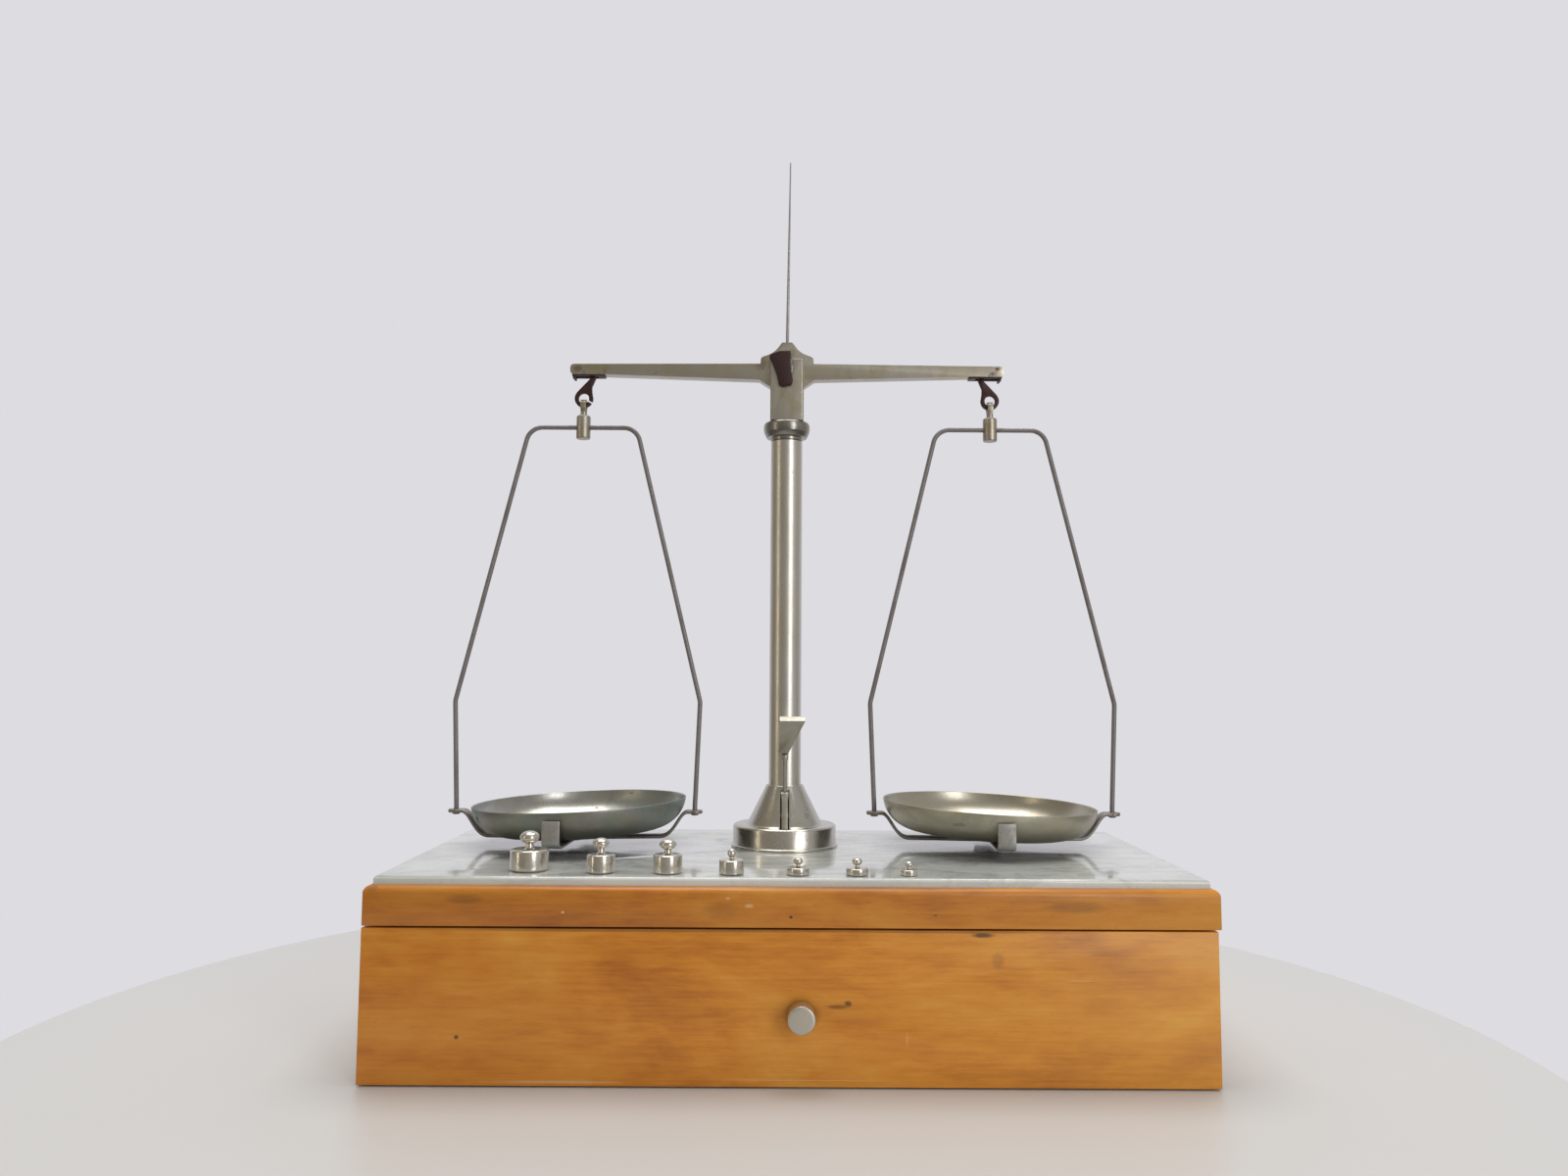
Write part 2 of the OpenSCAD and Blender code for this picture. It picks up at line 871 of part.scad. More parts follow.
module swivel_boss(side) {
    edge = 0.5;
    h = boss_top_z - boss_z;
    color(nickel_colour)
        at_arm_end(side)
            difference() {
                translate([0, 0, boss_z])
                    rotate_extrude()
                        polygon([[0, 0], [boss_r - edge, 0], [boss_r, edge], [boss_r, h - edge],
                                 [boss_r - edge, h], [0, h]]);
                translate([0, 0, chamber_z])
                    cylinder(h = chamber_top_z - chamber_z, r = chamber_r);
                translate([0, 0, chamber_z])
                    cylinder(h = boss_top_z, r = stem_eye_r + fixed_gap);
                translate([0, 0, wire_z])
                    rotate([0, 90, 0])
                        cylinder(h = through, r = wire_r + fixed_gap, center = true);
            }
}

// Middle line of the right half of the wire, from inside the boss down to its end
function half_wire_path() =
    let(side_dir = [sin(flare_deg), -cos(flare_deg)],
        top_cut = bend_r * tan((90 - flare_deg) / 2),
        low_cut = low_bend_r * tan(flare_deg / 2))
    concat(
        arc([flare_half - top_cut, wire_z - bend_r], bend_r, 90, flare_deg, 10),
        arc([stirrup_half - low_bend_r, flare_z - low_cut], low_bend_r, flare_deg, 0, 3),
        [[eyelet_half, eyelet_z + 4], [eyelet_half, eyelet_z - wire_head_h]]
    );

// A round rod swept along a path in X and Z
module swept_rod(path, r, sides) {
    last = len(path) - 1;
    rings = [
        for (i = [0:last])
            let(n = path_normal(path, i))
            for (k = [0:sides - 1])
                let(a = 360 * k / sides)
                [path[i][0] + r * cos(a) * n[0], r * sin(a), path[i][1] + r * cos(a) * n[1]]
    ];
    walls = [
        for (i = [0:last - 1])
            for (k = [0:sides - 1])
                let(m = (k + 1) % sides)
                [i * sides + k, i * sides + m, (i + 1) * sides + m, (i + 1) * sides + k]
    ];
    first_cap = [for (k = [sides - 1:-1:0]) k];
    last_cap = [for (k = [0:sides - 1]) last * sides + k];
    polyhedron(points = rings, faces = concat([first_cap], walls, [last_cap]));
}

module stirrup_wire(side) {
    path = half_wire_path();
    color(steel_colour)
        at_arm_end(side) {
            swept_rod(concat(mirrored(path), path), wire_r, 12);
            for (s = [-1, 1])
                translate([s * eyelet_half, 0, eyelet_z - wire_head_h])
                    cylinder(h = wire_head_h, r = wire_head_r);
        }
}

// ---- Cradles ----

// Right half of the strap's middle line, from its middle out to the eyelet
function strap_half_path() =
    let(z = strap_z + strap_t / 2, out_z = eyelet_z + strap_t / 2)
    concat(
        [[5, z]],
        curve([43.5, z + 0.6], [50.5, z + 1], [52.5, out_z], [eyelet_half - 3.5, out_z], 12),
        [[eyelet_half, out_z]]
    );

module cradle_strap(side) {
    path = strap_half_path();
    color(steel_colour)
        at_arm_end(side)
            difference() {
                union() {
                    along_y(strap_w)
                        ribbon(concat(mirrored(path), path), strap_t);
                    for (s = [-1, 1])
                        translate([s * eyelet_half, 0, eyelet_z])
                            cylinder(h = strap_t, r = eyelet_r);
                }
                for (s = [-1, 1])
                    translate([s * eyelet_half, 0, eyelet_z - 1])
                        cylinder(h = strap_t + 2, r = wire_r + fixed_gap);
                cylinder(h = through * 2, r = rivet_r + fixed_gap);
            }
}

function arm_half_path() =
    let(z = strap_z + strap_t + arm_t / 2)
    concat(
        [[4.5, z], [tab_y - 9, z + 0.2]],
        curve([tab_y - 6, z + 0.3], [tab_y - 1.5, z + 0.6], [tab_y, z + 2], [tab_y, z + 5], 8),
        [[tab_y, tab_top_z]]
    );

module cradle_arm(side) {
    path = arm_half_path();
    color(steel_colour)
        at_arm_end(side)
            rotate([0, 0, side < 0 ? arm_turn_left : arm_turn_right])
                difference() {
                    along_x(arm_w)
                        ribbon(concat(mirrored(path), path), arm_t);
                    cylinder(h = through * 2, r = rivet_r + fixed_gap);
                }
}

module cradle_rivet(side) {
    color(steel_colour)
        at_arm_end(side)
            translate([0, 0, strap_z - rivet_head_h]) {
                cylinder(h = rivet_head_h, r1 = rivet_head_r - 0.5, r2 = rivet_head_r);
                cylinder(h = rivet_head_h + strap_t + arm_t, r = rivet_r);
            }
}

// ---- Pans ----

// Outer face of the bowl for grow 0, and its inner face for grow equal to the sheet's thickness
function bowl_points(grow) = concat(
    arc([0, pan_floor_r], pan_floor_r - grow, -90, -90 + pan_floor_deg, 6),
    arc([pan_floor_half - pan_side_r * sin(pan_floor_deg),
         pan_floor_r - (pan_floor_r - pan_side_r) * cos(pan_floor_deg)],
        pan_side_r - grow, -90 + pan_floor_deg + 5, -90 + pan_rim_deg, 12)
);

function reversed(points) = [for (i = [len(points) - 1:-1:0]) points[i]];

module pan(side) {
    color(nickel_colour)
        at_arm_end(side)
            translate([pan_shift, 0, pan_z])
                rotate([0, pan_lean, 0])
                    rotate_extrude($fn = 96)
                        polygon(concat(bowl_points(0), reversed(bowl_points(pan_t))));
}

// ---- Weights ----

module weight(index) {
    w = weights[index];
    r = w[0] / 2;
    body = w[1];
    knob_r = w[2] / 2;
    knob_h = w[3];
    top = w[4];
    edge = 0.05 * w[0];
    neck_r = max(0.8, knob_r * 0.4);
    wide_z = top - knob_h * 0.55;
    color(nickel_colour)
        translate([w[5], w[6], marble_top + weight_rest_gap])
            rotate_extrude()
                polygon(concat(
                    [[0, 0], [r - edge, 0], [r, edge], [r, body - edge],
                     [r - edge, body], [neck_r + edge, body], [neck_r, body + edge],
                     [neck_r, top - knob_h], [knob_r * 0.8, wide_z - 0.15 * knob_h]],
                    [for (a = [0:15:90]) [knob_r * cos(a), wide_z + (top - wide_z) * sin(a)]]
                ));
}

bottom_panel();
side_panel(-1);  // side_panel_left
side_panel(1);  // side_panel_right
back_panel();
top_rail(case_w, case_d, 0);  // top_rail_front
top_rail(case_w, case_d, 180);  // top_rail_back
top_rail(case_d, case_w, -90);  // top_rail_left
top_rail(case_d, case_w, 90);  // top_rail_right
support_board();
marble_slab();
column_foot();
foot_stud();
foot_washer();
foot_nut();
column_tube();
column_collar();
lever_pin();
drawer_front();
drawer_side(-1);  // drawer_side_left
drawer_side(1);  // drawer_side_right
drawer_back();
drawer_bottom();
drawer_knob();
knob_screw();
lever_arm();
lever_stem();
thumb_piece();
lift_rod();
beam_fork();
knife_bearings();
pivot_cover();
balance_beam();
pointer_needle();
centre_knife();
end_knives();
hook_guards();
pan_hook_left();
pan_hook(1);  // pan_hook_right
swivel_eye(-1);  // swivel_eye_left
swivel_eye(1);  // swivel_eye_right
swivel_boss(-1);  // swivel_boss_left
swivel_boss(1);  // swivel_boss_right
stirrup_wire(-1);  // stirrup_wire_left
stirrup_wire(1);  // stirrup_wire_right
cradle_strap(-1);  // cradle_strap_left
cradle_strap(1);  // cradle_strap_right
cradle_arm(-1);  // cradle_arm_left
cradle_arm(1);  // cradle_arm_right
cradle_rivet(-1);  // cradle_rivet_left
cradle_rivet(1);  // cradle_rivet_right
pan(-1);  // pan_left
pan(1);  // pan_right
weight(0);  // weight_20g
weight(1);  // weight_10g_left
weight(2);  // weight_10g_right
weight(3);  // weight_5g
weight(4);  // weight_2g_left
weight(5);  // weight_2g_right
weight(6);  // weight_1g
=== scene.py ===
"""Looks of a two-pan column balance on a marble-topped drawer case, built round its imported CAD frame."""

import json
import logging
import math
from dataclasses import dataclass
from enum import Enum
from typing import Optional, Sequence, Union

import bmesh
import bpy
from mathutils import Matrix, Vector

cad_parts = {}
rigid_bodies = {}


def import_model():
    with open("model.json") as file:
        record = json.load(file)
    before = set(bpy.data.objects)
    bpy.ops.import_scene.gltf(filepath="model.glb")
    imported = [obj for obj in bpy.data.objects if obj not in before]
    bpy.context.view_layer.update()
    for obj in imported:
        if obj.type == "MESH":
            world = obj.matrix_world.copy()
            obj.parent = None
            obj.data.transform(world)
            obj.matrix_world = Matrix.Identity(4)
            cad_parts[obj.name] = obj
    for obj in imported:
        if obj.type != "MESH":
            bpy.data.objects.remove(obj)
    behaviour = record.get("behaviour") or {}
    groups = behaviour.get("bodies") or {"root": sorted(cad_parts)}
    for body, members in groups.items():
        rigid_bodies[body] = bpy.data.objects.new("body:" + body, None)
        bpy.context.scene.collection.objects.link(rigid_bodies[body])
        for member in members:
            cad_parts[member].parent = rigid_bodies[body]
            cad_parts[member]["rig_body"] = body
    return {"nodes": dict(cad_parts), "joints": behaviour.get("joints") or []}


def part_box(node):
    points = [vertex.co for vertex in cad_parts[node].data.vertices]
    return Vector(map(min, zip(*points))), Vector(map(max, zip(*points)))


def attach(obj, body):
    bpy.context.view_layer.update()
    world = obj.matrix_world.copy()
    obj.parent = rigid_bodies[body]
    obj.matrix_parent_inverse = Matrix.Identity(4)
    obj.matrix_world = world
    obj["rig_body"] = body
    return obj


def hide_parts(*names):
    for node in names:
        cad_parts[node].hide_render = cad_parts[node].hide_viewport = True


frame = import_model()

LOG = logging.getLogger("balance")
MM = 0.001
FULL_TURN = 2 * math.pi
GENERATED, OBJECT = 0, 3            # outputs of the Texture Coordinate node
FLAT = math.radians(0.4)            # faces of CAD meshes that differ by less are one face
MERGE = 0.002 * MM                  # points of a CAD mesh that are one point
WELD = 1e-5                         # points of a turned shape that are one point, in millimetres

Triple = tuple[float, float, float]
Colour = Triple
Pair = tuple[float, float]


def srgb(red: int, green: int, blue: int) -> Colour:
    """The linear colour of a screen colour given in 0 to 255."""
    def linear(channel: int) -> float:
        """One channel, from its screen value."""
        c = channel / 255
        return c / 12.92 if c <= 0.04045 else ((c + 0.055) / 1.055) ** 2.4
    return linear(red), linear(green), linear(blue)


class Grain(Enum):
    """The way that a board's grain runs."""

    ACROSS_FRONT = 0.0
    FRONT_TO_BACK = math.pi / 2


class Side(Enum):
    """One of the balance's two arms, with the sign of its place along X."""

    LEFT = -1
    RIGHT = 1

    def named(self, stem: str) -> str:
        """The CAD name of this side's copy of a piece."""
        return f"{stem}_{self.name.lower()}"


# ---- Shader graphs ----


class Value:
    """A node's output, on which Python arithmetic adds Math nodes."""

    def __init__(self, graph: "Graph", socket: bpy.types.NodeSocket) -> None:
        """Wraps one output socket of a graph."""
        self.graph = graph
        self.socket = socket

    def _math(self, operation: str, *operands: "Number") -> "Value":
        """A Math node on up to three operands."""
        return self.graph.node("ShaderNodeMath", {"operation": operation}, dict(enumerate(operands)))

    def __add__(self, other: "Number") -> "Value":
        """The sum."""
        return self._math("ADD", self, other)

    def __radd__(self, other: float) -> "Value":
        """The sum, from the right."""
        return self._math("ADD", other, self)

    def __sub__(self, other: "Number") -> "Value":
        """The difference."""
        return self._math("SUBTRACT", self, other)

    def __rsub__(self, other: float) -> "Value":
        """The difference, from the right."""
        return self._math("SUBTRACT", other, self)

    def __mul__(self, other: "Number") -> "Value":
        """The product."""
        return self._math("MULTIPLY", self, other)

    def __rmul__(self, other: float) -> "Value":
        """The product, from the right."""
        return self._math("MULTIPLY", other, self)

    def __abs__(self) -> "Value":
        """The size without its sign."""
        return self._math("ABSOLUTE", self)

    def larger(self, other: "Number") -> "Value":
        """The larger of two."""
        return self._math("MAXIMUM", self, other)

    def rising(self, low: float, high: float, top: float = 1.0) -> "Value":
        """A smooth step from 0 at low to top at high.

        Args:
            low: Where the step starts.
            high: Where it ends. A value below low makes the step fall.
            top: The value past high.

        Returns:
            The stepped value.
        """
        start, end, first, last = (low, high, 0.0, top) if high > low else (high, low, top, 0.0)
        return self.graph.node("ShaderNodeMapRange", {"interpolation_type": "SMOOTHSTEP"},
                               {0: self, 1: start, 2: end, 3: first, 4: last})


Number = Union[Value, float]


@dataclass(frozen=True)
class Mark:
    """A dark or pale mark on a board, such as a stained spot, a dent, a knot or a strip of painted shadow in a gap:
    its place and half sizes in millimetres, and how strong it is.
    """

    place: Triple
    half: Triple
    strength: float


class Graph:
    """A node tree with a place to read."""

    def __init__(self, tree: bpy.types.NodeTree, coordinates: int) -> None:
        """Empties a node tree and adds the coordinates that its patterns follow."""
        self.tree = tree
        self.tree.nodes.clear()
        self.place = self.node("ShaderNodeTexCoord", output=coordinates)

    def add(self, kind: str, settings: Optional[dict] = None, inputs: Optional[dict] = None) -> bpy.types.Node:
        """Adds one node.

        Args:
            kind: The node's type.
            settings: Its own properties, set first. A ramp's stops go under the name stops.
            inputs: Numbers, colours or values for its sockets, by name or index.

        Returns:
            The node.
        """
        made = self.tree.nodes.new(kind)
        for name, setting in (settings or {}).items():
            if name == "stops":
                self._set_stops(made.color_ramp, setting)
            else:
                setattr(made, name, setting)
        for name, given in (inputs or {}).items():
            self._feed(made.inputs[name], given)
        return made

    def node(self, kind: str, settings: Optional[dict] = None, inputs: Optional[dict] = None,
             output: int = 0) -> Value:
        """Adds one node, as add does, and hands back one of its outputs."""
        return Value(self, self.add(kind, settings, inputs).outputs[output])

    def _feed(self, socket: bpy.types.NodeSocket, given: Union[Number, Sequence[float]]) -> None:
        """Links a value to a socket, or sets a number or colour on it."""
        if isinstance(given, Value):
            self.tree.links.new(given.socket, socket)
        elif socket.type == "RGBA" and len(given) == 3:
            socket.default_value = (*given, 1.0)
        else:
            socket.default_value = given

    @staticmethod
    def _set_stops(ramp: bpy.types.ColorRamp, stops: Sequence[tuple[float, Colour]]) -> None:
        """Gives a ramp its stops."""
        while len(ramp.elements) < len(stops):
            ramp.elements.new(1.0)
        for element, (place, colour) in zip(ramp.elements, stops):
            element.position = place
            element.color = (*colour, 1.0)

    def ramp(self, value: Number, *stops: tuple[float, Colour]) -> Value:
        """A colour picked along stops by a value."""
        return self.node("ShaderNodeValToRGB", {"stops": stops}, {0: value})

    def mix(self, share: Number, first: Union[Value, Colour], second: Union[Value, Colour]) -> Value:
        """Mixes two colours: the first at a share of 0, the second at 1."""
        return self.node("ShaderNodeMix", {"data_type": "RGBA", "clamp_factor": True},
                         {0: share, 6: first, 7: second}, output=2)

    def mapped(self, scale: Sequence[float], shift: Sequence[float] = (0, 0, 0), turn: float = 0.0) -> Value:
        """The place on the piece, turned about Z, then stretched and shifted."""
        turned = self.place if turn == 0 else self.node(
            "ShaderNodeMapping", {}, {0: self.place, "Rotation": (0, 0, turn)})
        return self.node("ShaderNodeMapping", {}, {0: turned, "Location": shift, "Scale": scale})

    def noise(self, scale: Union[float, Sequence[float]], detail: float = 3.0, rough: float = 0.5,
              warp: float = 0.0, shift: Sequence[float] = (0, 0, 0), turn: float = 0.0) -> Value:
        """Noise over the piece.

        Args:
            scale: Its features to the metre, the same all ways or along X, Y and Z.
            detail: How many finer layers it has.
            rough: How strong they are.
            warp: How far it is pushed about.
            shift: Moves the pattern, so that two pieces differ.
            turn: Turns the pattern about Z.

        Returns:
            A value from 0 to 1, mostly near the middle.
        """
        spread = (scale,) * 3 if isinstance(scale, (int, float)) else scale
        return self.node("ShaderNodeTexNoise", {},
                         {"Vector": self.mapped(spread, shift, turn), "Scale": 1.0, "Detail": detail,
                          "Roughness": rough, "Distortion": warp})

    def axis(self, index: int) -> Value:
        """The place along X, Y or Z, in metres."""
        return self.node("ShaderNodeSeparateXYZ", {}, {0: self.place}, output=index)

    def near(self, mark: Mark, ragged: float = 0.5) -> Value:
        """1 in the middle of a mark, falling to 0 at its ragged edge."""
        scale = [1 / (h * MM) for h in mark.half]
        shift = [-p / h for p, h in zip(mark.place, mark.half)]
        far = self.node("ShaderNodeVectorMath", {"operation": "LENGTH"},
                        {0: self.mapped(scale, shift)}, output=1)
        wavy = self.noise([s * 1.3 for s in scale], 3, 0.6)
        return (far + (wavy - 0.5) * ragged).rising(1.0, 0.35, mark.strength)

    def marked(self, marks: Sequence[Mark]) -> Value:
        """One mask for several marks."""
        total = self.near(marks[0])
        for mark in marks[1:]:
            total = total.larger(self.near(mark))
        return total

    def relief(self, height: Value, depth: float, under: Optional[Value] = None) -> Value:
        """A Bump node for a height from 0 to 1, whose full range is depth metres.

        Args:
            height: The height.
            depth: How deep its full range is, in metres.
            under: An earlier relief that this one lies on.

        Returns:
            The changed normal.
        """
        inputs = {"Strength": 1.0, "Distance": depth, "Height": height}
        if under is not None:
            inputs["Normal"] = under
        return self.node("ShaderNodeBump", {}, inputs)


class MaterialGraph(Graph):
    """The nodes of one material."""

    def __init__(self, name: str) -> None:
        """Starts a material that holds only its shader and output."""
        self.material = bpy.data.materials.new(name)
        self.material.use_nodes = True
        super().__init__(self.material.node_tree, OBJECT)
        self.shader = self.add("ShaderNodeBsdfPrincipled")
        self.add("ShaderNodeOutputMaterial", {}, {0: Value(self, self.shader.outputs[0])})

    def finish(self, **sockets: Union[Number, Sequence[float]]) -> bpy.types.Material:
        """Feeds the shader, each socket by its name with underscores for spaces."""
        for name, given in sockets.items():
            self._feed(self.shader.inputs[name.replace("_", " ")], given)
        return self.material


# ---- Finishes ----


@dataclass(frozen=True)
class Finish:
    """A finish, made into a material once and then shared."""

    name: str

    def material(self) -> bpy.types.Material:
        """The finish's material."""
        name = self.name + "_finish"
        return bpy.data.materials.get(name) or self.paint(MaterialGraph(name))

    def paint(self, graph: MaterialGraph) -> bpy.types.Material:
        """Builds the material in its graph."""
        raise NotImplementedError


@dataclass(frozen=True)
class OiledWood(Finish):
    """Beech or pear under a thin lacquer that has rubbed through in places."""

    dark: Colour = srgb(170, 92, 18)
    middle: Colour = srgb(214, 138, 36)
    light: Colour = srgb(228, 166, 66)
    # The colour of stained spots and of painted shadow in gaps.
    dark_mark: Colour = (0.035, 0.016, 0.008)
    bare: Colour = srgb(226, 196, 150)
    grain: Grain = Grain.ACROSS_FRONT
    shift: Triple = (0.0, 0.0, 0.0)
    roughness: float = 0.42
    coat: float = 0.12
    # Whether the boards get painted shade towards the left and painted light towards the right.
    painted_side_light: bool = True
    marks: tuple[Mark, ...] = ()
    pale_marks: tuple[Mark, ...] = ()

    def paint(self, graph: MaterialGraph) -> bpy.types.Material:
        """Fine fibres, broad figure, ray flecks, the marks of use with strips of painted shadow in gaps, and painted
        shade on the left with painted light on the right.
        """
        turn = self.grain.value
        fibres = graph.noise((26, 700, 700), 4, 0.6, 0.1, self.shift, turn)
        figure = graph.noise((7, 30, 30), 4, 0.55, 1.6, self.shift, turn)
        clouds = graph.noise((9, 16, 16), 4, 0.6, 0.8, self.shift, turn)
        flecks = graph.noise((260, 1900, 1900), 2, 0.5, 0.0, self.shift, turn)
        rays = graph.noise((70, 330, 330), 3, 0.55, 0.3, self.shift, turn)
        tone = (figure - 0.5) * 0.7 + (fibres - 0.5) * 0.4 + (clouds - 0.5) * 1.2 + (rays - 0.5) * 0.4 + 0.52
        base = graph.ramp(tone, (0.15, self.dark), (0.5, self.middle), (0.85, self.light))
        base = graph.mix(flecks.rising(0.6, 0.74, 0.3), base, self.dark)
        base = graph.mix(flecks.rising(0.38, 0.27, 0.22), base, self.light)
        rough = (fibres - 0.5) * 0.2 + (clouds - 0.5) * 0.3 + self.roughness
        # Painted shade on the left of the case and painted light on its right, where the window's light falls.
        if self.painted_side_light:
            base = graph.mix(graph.axis(0).rising(0.12, -0.2, 0.3), base, self.dark)
            base = graph.mix(graph.axis(0).rising(0.02, 0.2, 0.25), base, self.light)
        # Stained spots, and strips of painted shadow in gaps, darken the wood here.
        if self.marks:
            dark_mark = graph.marked(self.marks)
            base = graph.mix(dark_mark, base, self.dark_mark)
            rough = rough + dark_mark * 0.2
        if self.pale_marks:
            base = graph.mix(graph.marked(self.pale_marks), base, self.bare)
        normal = graph.relief(fibres, 0.00008)
        normal = graph.relief(flecks, 0.00003, normal)
        return graph.finish(Base_Color=base, Roughness=rough, Normal=normal, Coat_Weight=self.coat,
                            Coat_Roughness=0.22)


@dataclass(frozen=True)
class PolishedMarble(Finish):
    """White marble with soft clouds and thin grey-green veins."""

    pale: Colour = srgb(202, 203, 201)
    cloud: Colour = srgb(170, 174, 172)
    vein: Colour = srgb(138, 146, 141)
    crystal: Colour = srgb(160, 164, 160)
    speck: Colour = srgb(90, 86, 78)
    sawn: Colour = srgb(232, 231, 226)
    front_y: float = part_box("marble_slab")[0].y

    def paint(self, graph: MaterialGraph) -> bpy.types.Material:
        """Clouds, two sets of veins, fine crystals, wiping marks and a paler front edge."""
        clouds = graph.noise((9, 14, 14), 5, 0.6, 0.8)
        ridge = abs(graph.noise((7, 17, 17), 6, 0.62, 2.2, (3, 1, 0)) - 0.5)
        thread = abs(graph.noise((22, 34, 34), 5, 0.6, 1.4, (0, 5, 2)) - 0.5)
        crystals = graph.noise(900, 2, 0.6)
        base = graph.mix(clouds.rising(0.35, 0.68, 0.9), self.pale, self.cloud)
        base = graph.mix(ridge.rising(0.045, 0.0, 0.5), base, self.vein)
        base = graph.mix(thread.rising(0.02, 0.0, 0.28), base, self.vein)
        base = graph.mix((crystals - 0.5) * 0.3 + 0.06, base, self.crystal)
        specks = graph.noise(260, 2, 0.5, 0, (7, 7, 7)).rising(0.76, 0.8, 0.35)
        base = graph.mix(specks, base, self.speck)
        front = graph.axis(1).rising(self.front_y + 0.6 * MM, self.front_y + 0.1 * MM, 0.75)
        base = graph.mix(front * (0.6 + specks), base, self.sawn)
        rough = graph.noise((30, 60, 60), 4, 0.6).rising(0.3, 0.8, 0.14) + 0.07 + front * 0.2
        return graph.finish(Base_Color=base, Roughness=rough, Coat_Weight=0.35, Coat_Roughness=0.05,
                            Specular_IOR_Level=0.6, Normal=graph.relief(crystals, 0.000006))


@dataclass(frozen=True)
class WornPlating(Finish):
    """Nickel on brass: satin, yellowed where thin, and spotted with age."""

    bright: Colour = (0.60, 0.575, 0.53)
    warm: Colour = (0.52, 0.455, 0.33)
    spot: Colour = (0.10, 0.065, 0.035)
    roughness: float = 0.27
    warmth: float = 0.5
    spotting: float = 0.25
    turning: float = 0.0
    unevenness: float = 0.00005
    streak: Triple = (60.0, 60.0, 60.0)
    marks: tuple[Mark, ...] = ()

    def paint(self, graph: MaterialGraph) -> bpy.types.Material:
        """Warm clouds, fine wear, small dark spots and, on a turned piece, the tool's rings."""
        clouds = graph.noise(self.streak, 4, 0.6, 0.6)
        wear = graph.noise(1100, 4, 0.65)
        specks = graph.noise(420, 3, 0.6, 0.3, (2, 4, 6))
        wipe = graph.noise((240, 240, 60), 3, 0.6)
        base = graph.mix(clouds.rising(0.42, 0.72, self.warmth), self.bright, self.warm)
        base = graph.mix((wear - 0.5) * 0.5 + 0.1, base, tuple(0.62 * c for c in self.bright))
        spots = specks.rising(0.66, 0.76, self.spotting)
        base = graph.mix(spots, base, self.spot)
        rough = self.roughness + (wipe - 0.5) * 0.22 + (wear - 0.5) * 0.14 + spots * 0.3
        if self.marks:
            dark_mark = graph.marked(self.marks)
            base = graph.mix(dark_mark, base, self.spot)
            rough = rough + dark_mark * 0.25
        normal = graph.relief(wear, 0.000012)
        normal = graph.relief(graph.noise(120, 2, 0.5, 0.2), self.unevenness, normal)
        if self.turning:
            rings = graph.noise((6, 6, 4200), 2, 0.6)
            normal = graph.relief(rings, self.turning, normal)
        return graph.finish(Base_Color=base, Roughness=rough, Metallic=1.0 - spots * 0.5, Normal=normal)


@dataclass(frozen=True)
class OldSteel(Finish):
    """Drawn or ground steel with a thin bloom of rust."""

    steel: Colour = (0.30, 0.275, 0.28)
    rust: Colour = (0.16, 0.085, 0.055)
    roughness: float = 0.42
    bloom: float = 0.5
    metal: float = 0.9

    def paint(self, graph: MaterialGraph) -> bpy.types.Material:
        """Steel, rust in patches, and a fine grain."""
        patches = graph.noise((90, 90, 45), 5, 0.65, 0.5)
        grain = graph.noise(1500, 3, 0.6)
        pits = graph.noise(700, 3, 0.6, 0, (5, 1, 3)).rising(0.58, 0.72)
        rusted = patches.rising(0.45, 0.7, self.bloom)
        base = graph.mix(rusted, self.steel, self.rust)
        base = graph.mix((grain - 0.5) * 0.6 + 0.15, base, tuple(0.5 * c for c in self.steel))
        base = graph.mix(pits * 0.35, base, tuple(0.35 * c for c in self.rust))
        rough = self.roughness + rusted * 0.25 + (grain - 0.5) * 0.2
        normal = graph.relief(grain, 0.00002)
        normal = graph.relief(pits, 0.00003, normal)
        return graph.finish(Base_Color=base, Roughness=rough, Metallic=self.metal - rusted * 0.45, Normal=normal)


